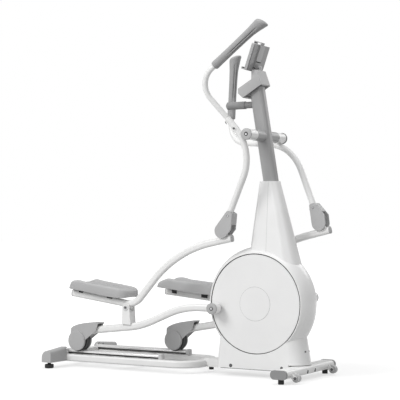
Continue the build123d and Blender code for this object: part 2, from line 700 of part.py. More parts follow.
def mast_line(start, end):
    """Stretch of the mast's centre line, as fractions of its length."""
    (x0, z0), (x1, z1) = MAST_FOOT, MAST_TOP
    a = (x0 + start * (x1 - x0), 0, z0 + start * (z1 - z0))
    b = (x0 + end * (x1 - x0), 0, z0 + end * (z1 - z0))
    return Line(a, b)


def mast():
    tube = along(mast_line(0.0, 1.05), oval(MAST_W, MAST_L, 2.5, 18))
    tube -= rod(27, -60, 60, BAR_X, BAR_Z)
    return tube + (fixed_grip_bar(15, 215, 366) - fixed_grip_bar(13, 210, 365))


def fixed_grip_bar(radius, x0, x1):
    """Round bar along X on the fixed grip's centre line."""
    return Pos((x0 + x1) / 2, 0, FIXED_GRIP_Z) * Rot(0, 90, 0) * Cylinder(radius, x1 - x0)


def axle_housing():
    """Cross tube welded through the mast."""
    return tube_y(27, 17.5, -110, 110, BAR_X, BAR_Z)


def handlebar_axle():
    return rod(17.5, -185, 185, BAR_X, BAR_Z)


def fixed_grip_foam():
    """Foam sleeve with a round closed end."""
    body = fixed_grip_bar(19, 216, 316) + Pos(226, 0, FIXED_GRIP_Z) * Sphere(19.5)
    return body - fixed_grip_bar(15, 215, 425)


def console_shell():
    """Hollow console body with a shallow recess below, closed round the mast's top."""
    body = slab(CONSOLE, -CONSOLE_HALF, CONSOLE_HALF)
    inner = slab([(378, 1489), (399, 1488), (417.5, 1425.5), (416.5, 1423.6), (327, 1370.8), (302, 1384),
                  (302, 1399), (375, 1441)], -CONSOLE_HALF + 3, CONSOLE_HALF - 3)
    recess = slab([(336.7, 1354.5), (426.2, 1407.3), (418.1, 1421.1), (328.6, 1368.3)], -39, 39)
    panel = slab([(300, 1398), (300, 1412), (376, 1455), (376, 1441)], -42, 42)
    mast_gap = along(mast_line(0.85, 1.06), RectangleRounded(MAST_W, MAST_L, 18))
    return body - inner - recess - panel - mast_gap


def on_panel(x, height, shape):
    """Place a shape on the sloping panel's middle plane, at x, lifted square to it."""
    z = 1410 + (x - 309) * math.tan(math.radians(PANEL_SLOPE))
    return Pos(x, 0, z) * Rot(0, -PANEL_SLOPE, 0) * Pos(0, 0, height) * shape


def console_panel():
    """Sloping face with the display window and the button hole."""
    plate = slab([(300.2, 1401.5), (300.2, 1408), (366, 1445.4), (370.5, 1441.5)], -41.7, 41.7)
    return plate - on_panel(LENS_AT, 0, Box(38, 62, 30)) - on_panel(BUTTON_AT, 0, Cylinder(6.3, 30))


def display_lens():
    return on_panel(LENS_AT, 0.5, Box(37.4, 61.4, 3))


def console_board():
    return on_panel(345, -9, Box(50, 78, 2))


def mode_button():
    cap = Pos(0, 0, 0.4) * Cylinder(6, 8.8) + Pos(0, 0, -3.6) * Cylinder(7, 1.2)
    return on_panel(BUTTON_AT, -0.2, cap)


def holder_local(shape):
    """Place a shape drawn upright at the holder's hinge."""
    return Pos(HOLDER_FOOT[0], 0, HOLDER_FOOT[1]) * Rot(0, HOLDER_LEAN, 0) * shape


def hinge_knuckle():
    """Hinge stand on top of the console."""
    stand = block(380, 400, -14, 14, 1489, 1506)
    stand += rod(9, -14, 14, HINGE_X, HINGE_Z)
    return stand - rod(4, -30, 30, HINGE_X, HINGE_Z)


def tablet_holder():
    """Plate with ledge, side frame, back channel and hinge ears."""
    half = HOLDER_HALF
    plate = fillet(block(-10, 4, -half, half, 0, HOLDER_H).edges().filter_by(Axis.X), 5)
    plate -= block(-11, -6, -half + 8, half - 8, 8, HOLDER_H - 7)
    ledge = block(-28, 4, -half + 2, half - 2, 0, 5) + block(-28, -25, -half + 2, half - 2, 4, 11)
    channel = block(3, 10, -26, 26, 40, HOLDER_H)
    slot = block(0.6, 6.4, -17.2, 17.2, 44, HOLDER_H + 5)
    ears = Part() + block(3, 25, -19.5, -14.5, 19, 37) + block(3, 25, 14.5, 19.5, 19, 37)
    body = holder_local(plate + ledge + channel - slot + ears)
    body += rod(8, -19.5, -14.5, HINGE_X, HINGE_Z) + rod(8, 14.5, 19.5, HINGE_X, HINGE_Z)
    return body + rod(4 - FIT, -20, 20, HINGE_X, HINGE_Z)


def tablet_clip():
    """Sliding hook that grips a tablet's top edge."""
    top = HOLDER_H + CLIP_UP
    stem = block(1, 6, -17, 17, 66, top + 1)
    hook = block(-36, 6, -18, 18, top, top + 4.5) + block(-36, -33, -18, 18, top - 8, top + 1)
    return holder_local(stem + hook)


def clip_spring():
    coil = Pos(3.5, 0, 55) * Cylinder(2.4, 20)
    return holder_local(coil)


# ---- assembly --------------------------------------------------------------------


def leg_left(shape, level):
    """Mirror a right-hand piece and carry it to the left side's place.

    level 0: rides on the roller carriage, 1: on the roller arm, 2: on the pedal arm.
    """
    left = mirrored(shape)
    if level == 2:
        x, z = PIVOT_R
        own = PEDAL_ANGLE_L - PEDAL_ANGLE_R - TILT
        left = turned(left, x, z, own)
    if level >= 1:
        left = turned(left, AXLE_R, ROLLER_Z, TILT)
    return moved_x(left, STROKE)


def bar_left(shape):
    return turned(mirrored(shape), BAR_X, BAR_Z, BAR_SWING)


def write_pair(name, shapes, place):
    write(name + "_right", *shapes)
    write(name + "_left", *[place(s) for s in shapes])


os.makedirs("parts", exist_ok=True)

write("main_frame", main_frame())
write("rear_frame", rear_frame())
write("slide_rails", rail(-1), rail(1))
write("rail_clamps", rail_clamp(-1), rail_clamp(1))
write("rear_stabiliser", rear_stabiliser())
write("rear_covers", rear_cover(), mirrored(rear_cover()))
write("rear_foot_right", rear_foot(-1))
write("rear_foot_left", rear_foot(1))
write("rubber_feet", *rubber_feet())
write("front_stabiliser", front_stabiliser())
write("front_end_caps", front_end_cap(), mirrored(front_end_cap()))
write("transport_wheel_right", transport_wheel(-1))
write("transport_wheel_left", transport_wheel(1))
write("transport_axles", transport_axle(-1), transport_axle(1))

write_pair("housing", [housing()], mirrored)
write("tower_front", tower_half(True))
write("tower_rear", tower_half(False))

write("crank_shaft", crank_shaft())
write("crank_bearings", *crank_bearings())
write("crank_pulley", crank_pulley())
write("crank_disc_right", crank_disc(-1))
write("crank_disc_left", crank_disc(1))
write("disc_caps", disc_cap(-1), disc_cap(1))
write("crank_pins", crank_pin(-1), crank_pin(1))
write("flywheel", flywheel())
write("flywheel_axle", flywheel_axle())
write("drive_belt", drive_belt())

write_pair("roller_axle", [roller_axle()], lambda s: leg_left(s, 0))
write_pair("roller_wheel", [roller_wheel()], lambda s: leg_left(s, 0))
write_pair("roller_arm", [roller_arm()], lambda s: leg_left(s, 1))
write_pair("roller_cover", roller_cover(), lambda s: leg_left(s, 1))
write_pair("pivot_bolt", [pivot_bolt()], lambda s: leg_left(s, 1))
write_pair("pedal_arm", [pedal_arm()], lambda s: leg_left(s, 2))
write_pair("pedal", [pedal()], lambda s: leg_left(s, 2))
write_pair("handlebar", handlebar(), bar_left)
write_pair("grip", [grip()], bar_left)
write_pair("handlebar_covers", handlebar_covers(), bar_left)

write("mast", mast())
write("axle_housing", axle_housing())
write("handlebar_axle", handlebar_axle())
write("fixed_grip_foam", fixed_grip_foam())
write("console_shell", console_shell() + hinge_knuckle())
write("console_panel", console_panel())
write("display_lens", display_lens())
write("console_board", console_board())
write("mode_button", mode_button())
write("tablet_holder", tablet_holder())
write("tablet_clip", tablet_clip())
write("clip_spring", clip_spring())

print("right crank pin", PIN_R, "left crank pin", PIN_L)
print("roller axles", AXLE_R, AXLE_L, "stroke", STROKE, "arm tilt", TILT)
print("pedal pivots", PIVOT_R, PIVOT_L, "pedal arm angles", PEDAL_ANGLE_R, PEDAL_ANGLE_L)
print("lower pivots", LOWER_R, LOWER_L)
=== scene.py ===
# %% [markdown]
# # Elliptical trainer: finishing the CAD model
# The solids come from the CAD step in metres, already in place: +X is forward, +Y is the user's
# left and +Z is up. This notebook gives every solid its finish, adds the mouldings, screws, seams
# and grips that a person would see close up, and sets the studio round it.

# %% Load the frame and start the size note
import json
import math
import bpy
import numpy as np
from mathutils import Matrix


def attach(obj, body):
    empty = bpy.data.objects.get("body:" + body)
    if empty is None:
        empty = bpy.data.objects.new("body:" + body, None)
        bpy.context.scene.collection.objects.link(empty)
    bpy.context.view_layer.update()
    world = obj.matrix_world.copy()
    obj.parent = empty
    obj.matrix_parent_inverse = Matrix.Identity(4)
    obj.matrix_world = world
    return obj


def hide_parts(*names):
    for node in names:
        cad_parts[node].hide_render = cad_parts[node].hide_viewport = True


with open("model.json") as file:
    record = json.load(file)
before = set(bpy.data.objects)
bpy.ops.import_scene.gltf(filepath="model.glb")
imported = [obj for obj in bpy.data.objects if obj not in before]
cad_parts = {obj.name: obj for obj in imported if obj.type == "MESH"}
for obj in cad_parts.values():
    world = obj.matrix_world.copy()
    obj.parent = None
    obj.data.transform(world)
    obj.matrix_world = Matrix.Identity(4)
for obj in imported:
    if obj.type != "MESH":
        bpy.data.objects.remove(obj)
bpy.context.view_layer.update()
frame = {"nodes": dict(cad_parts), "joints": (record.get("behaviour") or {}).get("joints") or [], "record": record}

# %% [markdown]
# ## Camera and studio
# A tall machine shot from near by would lean and bulge. A long lens far back, a little above the
# pedals and almost level, keeps its upright lines upright.

# %% Camera
camera_data = bpy.data.cameras.new("studio_camera")
camera_data.lens = 110.97
camera_data.sensor_width = 36
camera = bpy.data.objects.new("studio_camera", camera_data)
camera.location = (3.205, -5.350, 0.750)
camera.rotation_euler = (math.radians(91.02), 0, math.radians(30.5))
bpy.context.collection.objects.link(camera)
scene = bpy.context.scene
scene.camera = camera
scene.view_settings.view_transform = "Standard"
print("camera stands", round(math.dist(camera.location, (0, 0, 0.75)), 2), "m away")

# %% [markdown]
# The studio is a white world over a white floor. A world bright enough to look white would also
# wash the machine out, so both show one strength to the camera and give another as a light. The
# light path node tells the two uses apart, and a mix shader switches between them.

# %% Nodes that the studio and the finishes share
def ray_switch(tree, first, second):
    """Value that is 1 for two kinds of ray and 0 for all others: the larger of their two flags."""
    path = tree.nodes.new("ShaderNodeLightPath")
    either = tree.nodes.new("ShaderNodeMath")
    either.operation = "MAXIMUM"
    tree.links.new(path.outputs[first], either.inputs[0])
    tree.links.new(path.outputs[second], either.inputs[1])
    return either.outputs[0]


def switched(tree, switch, off, on):
    """Shader that is off where the switch is 0 and on where it is 1."""
    mix = tree.nodes.new("ShaderNodeMixShader")
    tree.links.new(switch, mix.inputs["Fac"])
    tree.links.new(off, mix.inputs[1])
    tree.links.new(on, mix.inputs[2])
    return mix.outputs[0]


def remapped(tree, value, source, target):
    """Value carried in a straight line from the source range to the target range, held at both ends."""
    carry = tree.nodes.new("ShaderNodeMapRange")
    for socket, number in zip(("From Min", "From Max", "To Min", "To Max"), (*source, *target)):
        carry.inputs[socket].default_value = number
    tree.links.new(value, carry.inputs["Value"])
    return carry.outputs["Result"]


print("node helpers ready")


# %% World: white to the eye, gentler as a light
WORLD_LIGHT = 0.50


def background(tree, strength):
    """White background of one strength."""
    sky = tree.nodes.new("ShaderNodeBackground")
    sky.inputs["Color"].default_value = (1, 1, 1, 1)
    sky.inputs["Strength"].default_value = strength
    return sky.outputs[0]


world = bpy.data.worlds.new("studio")
scene.world = world
world.use_nodes = True
tree = world.node_tree
tree.nodes.clear()
seen = ray_switch(tree, "Is Camera Ray", "Is Transmission Ray")
sky = switched(tree, seen, background(tree, WORLD_LIGHT), background(tree, 1.0))
tree.links.new(sky, tree.nodes.new("ShaderNodeOutputWorld").inputs["Surface"])
print("world lights at", WORLD_LIGHT)

# %% [markdown]
# A small lamp leaves hard shadows and hot spots on coated tubes, so all five lamps are wide
# squares. The key stands high on the camera's left and the fill lower on its right. One lamp
# overhead lights the pedals, one low in front lifts the covers, and one behind draws the rims.

# %% Lamps
def soft_lamp(name, place, aim, size, watts):
    """Square area lamp at place, its face towards aim."""
    data = bpy.data.lights.new(name, "AREA")
    data.size = size
    data.energy = watts
    lamp = bpy.data.objects.new(name, data)
    reach = np.array(aim, float) - np.array(place, float)
    lamp.location = place
    lamp.rotation_euler = (math.atan2(math.hypot(reach[0], reach[1]), -reach[2]), 0,
                           math.atan2(reach[1], reach[0]) - math.pi / 2)
    bpy.context.collection.objects.link(lamp)


soft_lamp("key", (-2.0, -4.2, 3.6), (0, 0, 0.7), 2.2, 150)
soft_lamp("overhead", (0.9, -0.5, 4.6), (0.1, 0, 0.6), 2.4, 50)
soft_lamp("front", (-0.6, -5.6, 1.3), (0, 0, 0.7), 2.6, 22)
soft_lamp("fill", (4.2, -3.0, 2.4), (0.2, 0, 0.7), 2.4, 16)
soft_lamp("rim", (1.5, 4.0, 3.2), (0, 0, 0.8), 2.4, 40)
print("lamps:", len(bpy.data.lights))

# %% [markdown]
# The floor shows a soft shadow under the machine and fades into the white world further out. A
# plain white floor would end in a visible edge. Here a grey one catches the shadow, and a glow
# that only the camera and glossy surfaces see grows with the distance until it is pure white.

# %% Floor
FLOOR_HALF = 30
FLOOR_Z = -0.0005           # just under the feet
NEAR, FAR = 0.9, 3.0        # distances between which the glow grows
NEAR_GLOW, FAR_GLOW = 0.62, 1.0


def flat_sheet(name, half, z):
    """Square sheet from -half to half on both axes, at height z."""
    u, v = np.meshgrid([-half, half], [-half, half])
    points = np.stack([u.ravel(), v.ravel(), np.full(4, z)], 1)
    mesh = bpy.data.meshes.new(name)
    mesh.from_pydata(points.tolist(), [], [(0, 1, 3, 2)])
    sheet = bpy.data.objects.new(name, mesh)
    bpy.context.collection.objects.link(sheet)
    return sheet


floor = flat_sheet("studio_floor", FLOOR_HALF, FLOOR_Z)
floor_paint = bpy.data.materials.new("studio_floor")
floor_paint.use_nodes = True
tree = floor_paint.node_tree
tree.nodes.clear()
matte = tree.nodes.new("ShaderNodeBsdfDiffuse")
matte.inputs["Color"].default_value = (0.42, 0.42, 0.42, 1)
ground = tree.nodes.new("ShaderNodeTexCoord")
distance = tree.nodes.new("ShaderNodeVectorMath")
distance.operation = "LENGTH"
tree.links.new(ground.outputs["Object"], distance.inputs[0])
glow = tree.nodes.new("ShaderNodeEmission")
growing = remapped(tree, distance.outputs["Value"], (NEAR, FAR), (NEAR_GLOW, FAR_GLOW))
tree.links.new(growing, glow.inputs["Strength"])
both = tree.nodes.new("ShaderNodeAddShader")
tree.links.new(matte.outputs[0], both.inputs[0])
tree.links.new(glow.outputs[0], both.inputs[1])
seen = ray_switch(tree, "Is Camera Ray", "Is Glossy Ray")
shown = switched(tree, seen, matte.outputs[0], both.outputs[0])
tree.links.new(shown, tree.nodes.new("ShaderNodeOutputMaterial").inputs["Surface"])
floor.data.materials.append(floor_paint)
print("floor", tuple(round(v) for v in floor.dimensions))


# %% [markdown]
# ## Finishes
# The machine is powder coat, matt mouldings, foam, rubber and polished rod. Each finish is worked
# out from the point's place on the object, so no piece needs unwrapping and a pattern runs on
# across a seam. A large soft noise shifts the colour, by a few percent on a clean coat and by
# about a tenth on rubber, and a fine noise lifts the surface: orange peel on paint, spark grain
# on mouldings, cells on foam. One helper lays these nodes and each finish sets its own numbers.

# %% Noise and a two-tone ramp
def noise(tree, place, scale, detail):
    """Noise from 0 to 1 at a place on the object, scale times finer than a metre."""
    cloudy = tree.nodes.new("ShaderNodeTexNoise")
    cloudy.inputs["Scale"].default_value = scale
    cloudy.inputs["Detail"].default_value = detail
    tree.links.new(place, cloudy.inputs["Vector"])
    return cloudy.outputs["Fac"]


def two_tone(tree, value, low, high):
    """Colour that runs straight from one (position, colour) stop to the other."""
    ramp = tree.nodes.new("ShaderNodeValToRGB")
    for stop, (position, colour) in zip(ramp.color_ramp.elements, (low, high)):
        stop.position = position
        stop.color = (*colour, 1)
    tree.links.new(value, ramp.inputs["Fac"])
    return ramp.outputs["Color"]


print("noise and ramp ready")

# %% The helper that lays the nodes of a finish
DEEPER = 0.02               # the dark tone is this much darker than the noise alone makes it
BUMP_STRENGTH = 0.6


def finish(name, colour, rough, metal=0.0, coat=0.0, coat_rough=0.1, cloud=0.02, cloud_scale=6.0,
           grain_scale=900.0, depth=0.00002, rough_shift=0.05):
    """Colour times 1 plus or minus the cloud noise, roughness plus or minus a shift, and a fine bump."""
    made = bpy.data.materials.new(name)
    made.use_nodes = True
    tree = made.node_tree
    shader = tree.nodes["Principled BSDF"]
    shader.inputs["Metallic"].default_value = metal
    shader.inputs["Coat Weight"].default_value = coat
    shader.inputs["Coat Roughness"].default_value = coat_rough
    place = tree.nodes.new("ShaderNodeTexCoord").outputs["Object"]
    clouds = noise(tree, place, cloud_scale, 3)
    low = [c * (1 - cloud - DEEPER) for c in colour]
    high = [min(1, c * (1 + cloud)) for c in colour]
    tree.links.new(two_tone(tree, clouds, (0.3, low), (0.7, high)), shader.inputs["Base Color"])
    rough_ends = (max(0.02, rough - rough_shift), min(1, rough + rough_shift))
    tree.links.new(remapped(tree, clouds, (0, 1), rough_ends), shader.inputs["Roughness"])
    bump = tree.nodes.new("ShaderNodeBump")
    bump.inputs["Distance"].default_value = depth
    bump.inputs["Strength"].default_value = BUMP_STRENGTH
    tree.links.new(noise(tree, place, grain_scale, 2), bump.inputs["Height"])
    tree.links.new(bump.outputs["Normal"], shader.inputs["Normal"])
    return made


print("a finish has a bump strength of", BUMP_STRENGTH)

# %% The finishes
white_coat = finish("white_powder_coat", (0.84, 0.84, 0.835), 0.36, coat=0.25, coat_rough=0.2,
                    cloud=0.012, grain_scale=420, depth=0.000015)
white_shell = finish("white_moulding", (0.86, 0.86, 0.858), 0.34, coat=0.3, coat_rough=0.16,
                     cloud=0.01, grain_scale=260, depth=0.00001)
grey_moulding = finish("grey_moulding", (0.44, 0.44, 0.442), 0.5, grain_scale=1400, depth=0.00001)
pale_moulding = finish("pale_grey_moulding", (0.52, 0.52, 0.522), 0.46, grain_scale=1400,
                       depth=0.00001)
dark_moulding = finish("dark_grey_moulding", (0.28, 0.28, 0.282), 0.5, grain_scale=1400,
                       depth=0.00001)
mast_coat = finish("grey_mast_coat", (0.36, 0.36, 0.362), 0.42, coat=0.15, cloud=0.015,
                   grain_scale=500, depth=0.00001)
roller_polymer = finish("dark_roller_polymer", (0.07, 0.07, 0.072), 0.42, cloud=0.08,
                        cloud_scale=20, grain_scale=700)
# Black rubber of the feet, saddles, seats and rings; the same black also paints shade in the crank discs' gaps,
# the grips' grooves and the holder's slots.
rubber_and_painted_shade = finish("black_foot_rubber", (0.018, 0.018, 0.018), 0.7, cloud=0.1, cloud_scale=30,
                     grain_scale=600, depth=0.00004)
grip_foam = finish("grey_grip_foam", (0.36, 0.36, 0.362), 0.82, cloud=0.03, cloud_scale=40,
                   grain_scale=1500, depth=0.00003)
dark_foam = finish("dark_grip_foam", (0.27, 0.27, 0.272), 0.82, cloud=0.03, cloud_scale=40,
                   grain_scale=1500, depth=0.00003)
rail_chrome = finish("polished_chrome", (0.80, 0.80, 0.81), 0.17, metal=0.6, cloud=0.01,
                     grain_scale=90, depth=0.000003, rough_shift=0.02)
turned_steel = finish("turned_steel", (0.58, 0.58, 0.59), 0.3, metal=1.0, cloud=0.04,
                      cloud_scale=60, grain_scale=1200, depth=0.00003)
# Dark casting of the axles, nuts and screws, and of the seam lines; the same dark also paints shade in the
# console's recess and the holder's edge groove.
cast_iron = finish("painted_casting", (0.12, 0.12, 0.125), 0.55, cloud=0.1, cloud_scale=14,
                   grain_scale=240, depth=0.00006)
belt_rubber = finish("belt_rubber", (0.025, 0.025, 0.025), 0.6, cloud=0.1, cloud_scale=30,
                     grain_scale=500, depth=0.0001)
board_green = finish("board_green", (0.02, 0.16, 0.07), 0.35, cloud=0.06, cloud_scale=80,
                     grain_scale=700, depth=0.00005)
window_dark = finish("dark_window", (0.02, 0.022, 0.025), 0.1, coat=0.6, coat_rough=0.05,
                     grain_scale=60, depth=0.000005)
print("materials so far:", len(bpy.data.materials))

# %% [markdown]
# The rails need more than this. A polished rod shows the bright studio above it and the dark
# machine below it. A pure mirror would show them only from some places and with hard flecks, so
# the rod is less metallic and a painted reflection runs in its colour with height, from dark below to bright
# above.

# %% Rail finish: a painted reflection
ROD_MIDDLE, ROD_REACH = 0.0770, 0.0124      # height and radius of the rods
rail_tree = rail_chrome.node_tree
rail_place = rail_tree.nodes.new("ShaderNodeTexCoord")
rail_axis = rail_tree.nodes.new("ShaderNodeSeparateXYZ")
rail_tree.links.new(rail_place.outputs["Object"], rail_axis.inputs["Vector"])
rod_ends = (ROD_MIDDLE - ROD_REACH, ROD_MIDDLE + ROD_REACH)
across_rod = remapped(rail_tree, rail_axis.outputs["Z"], rod_ends, (0, 1))
# painted reflection: dark on the rod's lower side, bright on its upper side
painted_reflection = two_tone(rail_tree, across_rod, (0.34, (0.03, 0.03, 0.03)), (0.46, (0.93, 0.93, 0.93)))
rail_tree.links.new(painted_reflection, rail_tree.nodes["Principled BSDF"].inputs["Base Color"])
print("rail bands between", [round(z, 4) for z in rod_ends])

# %% [markdown]
# The record says which kind of material each solid has. The first table names the finish for each
# of the record's slots, and the second gives a few solids a look of their own instead.

# %% Give every solid its finish
slot_finish = {
    "white_paint": white_coat, "white_plastic": white_shell, "grey_plastic": grey_moulding,
    "light_grey_plastic": pale_moulding, "mast_grey": mast_coat, "dark_roller": roller_polymer,
    "black_rubber": rubber_and_painted_shade, "grip_foam": grip_foam, "chrome_rail": rail_chrome,
    "steel": turned_steel, "cast_iron": cast_iron, "belt_rubber": belt_rubber,
    "display_glass": window_dark, "circuit_board": board_green,
}
own_finish = {
    "fixed_grip_foam": dark_foam, "tablet_holder": mast_coat, "front_end_caps": dark_moulding,
    "transport_wheel_right": pale_moulding, "transport_wheel_left": pale_moulding,
    "transport_axles": cast_iron,
}
for part in frame["record"]["subparts"]:
    solid = frame["nodes"][part["node"]]
    solid.data.materials.clear()
    solid.data.materials.append(own_finish.get(part["node"], slot_finish[part["material_slot"]]))

# %% [markdown]
# ## Surfaces from arrays
# A mesh can be pushed and pulled by hand or built up from primitives, but then its sizes are hard
# to read and to change. Every new piece here is a grid of points worked out at once with numpy:
# one direction of the grid runs round the piece and the other runs along it. The grid becomes
# quads, its open ends are closed with a fan, and the faces are turned outwards by the sign of the
# volume that they enclose.

# %% From a grid of points to a mesh
def surface(name, points, paint, body, slot, hoop=False, sharp=35.0):
    """Quads between neighbours of points[i, j]. Rows close on themselves; a hoop also closes from
    its last row to its first, and any other surface gets a fan round the middle of each end row."""
    rows, cols = points.shape[:2]
    verts = points.reshape(-1, 3)
    i, j = np.meshgrid(np.arange(rows if hoop else rows - 1), np.arange(cols), indexing="ij")
    k = (j + 1) % cols
    up = (i + 1) % rows
    quads = np.stack([i * cols + j, i * cols + k, up * cols + k, up * cols + j], -1).reshape(-1, 4)
    tris = np.zeros((0, 3), int)
    if not hoop:
        verts = np.vstack([verts, points[0].mean(0), points[-1].mean(0)])
        a = np.arange(cols)
        b = (a + 1) % cols
        low = np.full(cols, rows * cols)
        last = (rows - 1) * cols
        tris = np.vstack([np.stack([low, b, a], 1), np.stack([low + 1, last + a, last + b], 1)])
    split = np.vstack([quads[:, [0, 1, 2]], quads[:, [0, 2, 3]], tris])
    p, q, r = (verts[split[:, n]] for n in range(3))
    if np.einsum("ij,ij->", p, np.cross(q, r)) < 0:
        quads = quads[:, ::-1]
        tris = tris[:, ::-1]
    return finished_mesh(name, verts, quads, tris, paint, body, sharp)


def finished_mesh(name, verts, quads, tris, paint, body, sharp):
    """Mesh from vertex, quad and triangle arrays, smooth except at edges sharper than the limit."""
    mesh = bpy.data.meshes.new(name)
    mesh.from_pydata(verts.tolist(), [], quads.tolist() + tris.tolist())
    mesh.polygons.foreach_set("use_smooth", np.ones(len(mesh.polygons), bool))
    mesh.set_sharp_from_angle(angle=math.radians(sharp))
    mesh.update()
    mesh.materials.append(paint)
    piece = bpy.data.objects.new(name, mesh)
    bpy.context.collection.objects.link(piece)
    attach(piece, body)
    return piece


print("grids become meshes")


# %% A turned shape: a profile carried round an axis
ASIDE = (0.31, 0.2, 0.93)   # any direction that no axis on the machine has


def across(toward):
    """The direction as a unit vector, and two more that are square to it and to each other."""
    d = np.array(toward, float) / np.linalg.norm(toward)
    a = np.cross(d, ASIDE)
    a /= np.linalg.norm(a)
    return d, a, np.cross(d, a)


def turned_points(start, toward, profile, steps=40):
    """Profile of (s, r) carried round a line: start + s d + r (a cos t + b sin t), where d is the
    line's direction and a and b are square to it."""
    d, a, b = across(toward)
    t = np.linspace(0, 2 * math.pi, steps, endpoint=False)
    s, r = (np.array(profile, float)[:, n] for n in range(2))
    circle = np.cos(t)[:, None] * a + np.sin(t)[:, None] * b
    return np.array(start, float) + s[:, None, None] * d + r[:, None, None] * circle[None]


print("profiles turn")


# %% A plan with four round corners
def round_plan(x0, x1, y0, y1, rear, front, steps=24, sides=0):
    """Rectangle in X and Y whose corners are quarter circles, of one radius at the rear and one at
    the front. Each corner has steps points, and each straight side has sides points."""
    corners = ((x1 - front, y1 - front, front, 0), (x0 + rear, y1 - rear, rear, 90),
               (x0 + rear, y0 + rear, rear, 180), (x1 - front, y0 + front, front, 270))
    arcs = []
    for x, y, radius, start in corners:
        a = np.radians(start + np.linspace(0, 90, steps))
        arcs.append(np.stack([x + radius * np.cos(a), y + radius * np.sin(a)], 1))
    share = np.linspace(0, 1, sides + 2)[1:-1, None]
    rows = []
    for arc, following in zip(arcs, arcs[1:] + arcs[:1]):
        rows += [arc, arc[-1] + share * (following[0] - arc[-1])]
    return np.vstack(rows)


print("plans ready")

# %% [markdown]
# ## The two ends of the stroke
# The right leg's parts are drawn in place. The left ones are their mirror image, turned and slid
# as the linkage does it: the pedal arm eases two degrees on its pivot, the roller arm rises four
# degrees on its roller, and all of it rolls forward by one stroke. Drawing both sides would mean
# two sets of places to keep alike. Here one set is carried over, by the frame's own joints.

# %% Places of the linkage
joints = {joint["name"]: joint for joint in frame["joints"]}
PLAY = 0.05                 # degrees left free at the end of a joint's range
STROKE = joints["stride_right"]["range_m"][1]
ARM_RISE = -joints["arm_right_tilt"]["range_deg"][0] - PLAY
PEDAL_EASE = PLAY - joints["pedal_right_tilt"]["range_deg"][1]
BAR_SWING = -joints["bar_right_swing"]["range_deg"][0] - PLAY
AXLE = joints["arm_right_tilt"]["pos_m"][::2]
PIVOT = joints["pedal_right_tilt"]["pos_m"][::2]
BAR_AXLE = joints["bar_right_swing"]["pos_m"][::2]
CRANK = joints["crank_turn"]["pos_m"][::2]
PEDAL_Y = -joints["pedal_right_tilt"]["pos_m"][1]
RAIL_Y = -joints["roller_right_turn"]["pos_m"][1]


def on_circle(centre, radius, degrees):
    """Place (x, z) on a circle: centre + radius (cos, sin) of the angle from +X towards +Z."""
    a = math.radians(degrees)
    return centre[0] + radius * math.cos(a), centre[1] + radius * math.sin(a)


BAR_LENGTH, BAR_REST = 0.4869, -108.7           # handlebar below its axle: length, angle at rest
CRANK_RADIUS, CRANK_REST = 0.206, 187.35        # crank pin: its circle, angle at rest
LOWER = on_circle(BAR_AXLE, BAR_LENGTH, BAR_REST)       # pivot between pedal arm and handlebar
PIN = on_circle(CRANK, CRANK_RADIUS, CRANK_REST)        # crank pin at its rear dead centre
print("stroke", round(STROKE, 4), "arm rise", round(ARM_RISE, 3), "bar swing", round(BAR_SWING, 3))

# %% Carry a right-hand piece to the left
MIRROR = np.array([1.0, -1.0, 1.0])
RIDES = {"arm": "arm_", "pedal": "pedal_arm_", "bar": "bar_"}


def turn_xz(points, centre, degrees):
    """Turn about a line along Y: (x, z) times the plane rotation by the angle from +X to +Z."""
    a = math.radians(degrees)
    x = points[..., 0] - centre[0]
    z = points[..., 2] - centre[1]
    out = points.copy()
    out[..., 0] = centre[0] + x * math.cos(a) - z * math.sin(a)
    out[..., 2] = centre[1] + x * math.sin(a) + z * math.cos(a)
    return out


def on_left(points, level):
    """Mirror in Y, then turn and slide as the level does: 'arm', 'pedal', 'bar' or 'fixed'."""
    out = points * MIRROR
    if level == "pedal":
        out = turn_xz(out, PIVOT, PEDAL_EASE)
    if level in ("pedal", "arm"):
        out = turn_xz(out, AXLE, ARM_RISE)
        out[..., 0] += STROKE
    if level == "bar":
        out = turn_xz(out, BAR_AXLE, BAR_SWING)
    return out


def pair(name, points, paint, slot, level, **shape):
    """The same surface on the right and, carried over, on the left, each on its own body."""
    bodies = [RIDES[level] + side if level in RIDES else "root" for side in ("right", "left")]
    right = surface(name + "_right", points, paint, bodies[0], slot, **shape)
    left = surface(name + "_left", on_left(points, level), paint, bodies[1], slot, **shape)
    return right, left


print("levels that move:", *RIDES)

# %% [markdown]
# ## Pedals
# A pedal is one moulding: a tray with a raised rim that is higher at the heel, a rounded nose
# and a drawn-in underside. Sculpting it would lose the straight walls between those curves. The
# surface is the plan outline carried through a list of insets, each with its place between the
# underside and the rim, and both of those are curves along X.

# %% Curves of the pedal tray
REAR, FRONT = -0.624, -0.279          # ends of the foot plate
SOLE_MID, SOLE_HALF = -0.104, 0.079   # its middle plane and half width
HEEL_ROUND, NOSE_ROUND = 0.016, 0.052
OUTER_RIM = [(REAR, 0.432), (-0.614, 0.441), (-0.601, 0.4485), (-0.576, 0.4510), (-0.557, 0.4500),
             (-0.532, 0.4450), (-0.515, 0.4390), (-0.490, 0.4360), (-0.347, 0.4170),
             (-0.310, 0.4115), (FRONT, 0.401)]
INNER_RIM = [(REAR, 0.428), (-0.606, 0.4365), (-0.586, 0.4430), (-0.562, 0.4505),
             (-0.545, 0.4490), (-0.509, 0.4420), (-0.347, 0.4195), (-0.315, 0.4130), (FRONT, 0.401)]
UNDERSIDE = [(REAR, 0.4065), (-0.602, 0.4025), (-0.400, 0.3710), (-0.320, 0.3640),
             (-0.292, 0.3640), (FRONT, 0.371)]


def soft_line(x, knots, spread):
    """Broken line through (x, z) knots, averaged over a short stretch so that its corners are soft."""
    along, height = np.array(knots).T
    shifts = np.linspace(-spread, spread, 9)
    return np.mean([np.interp(x + d, along, height) for d in shifts], axis=0)


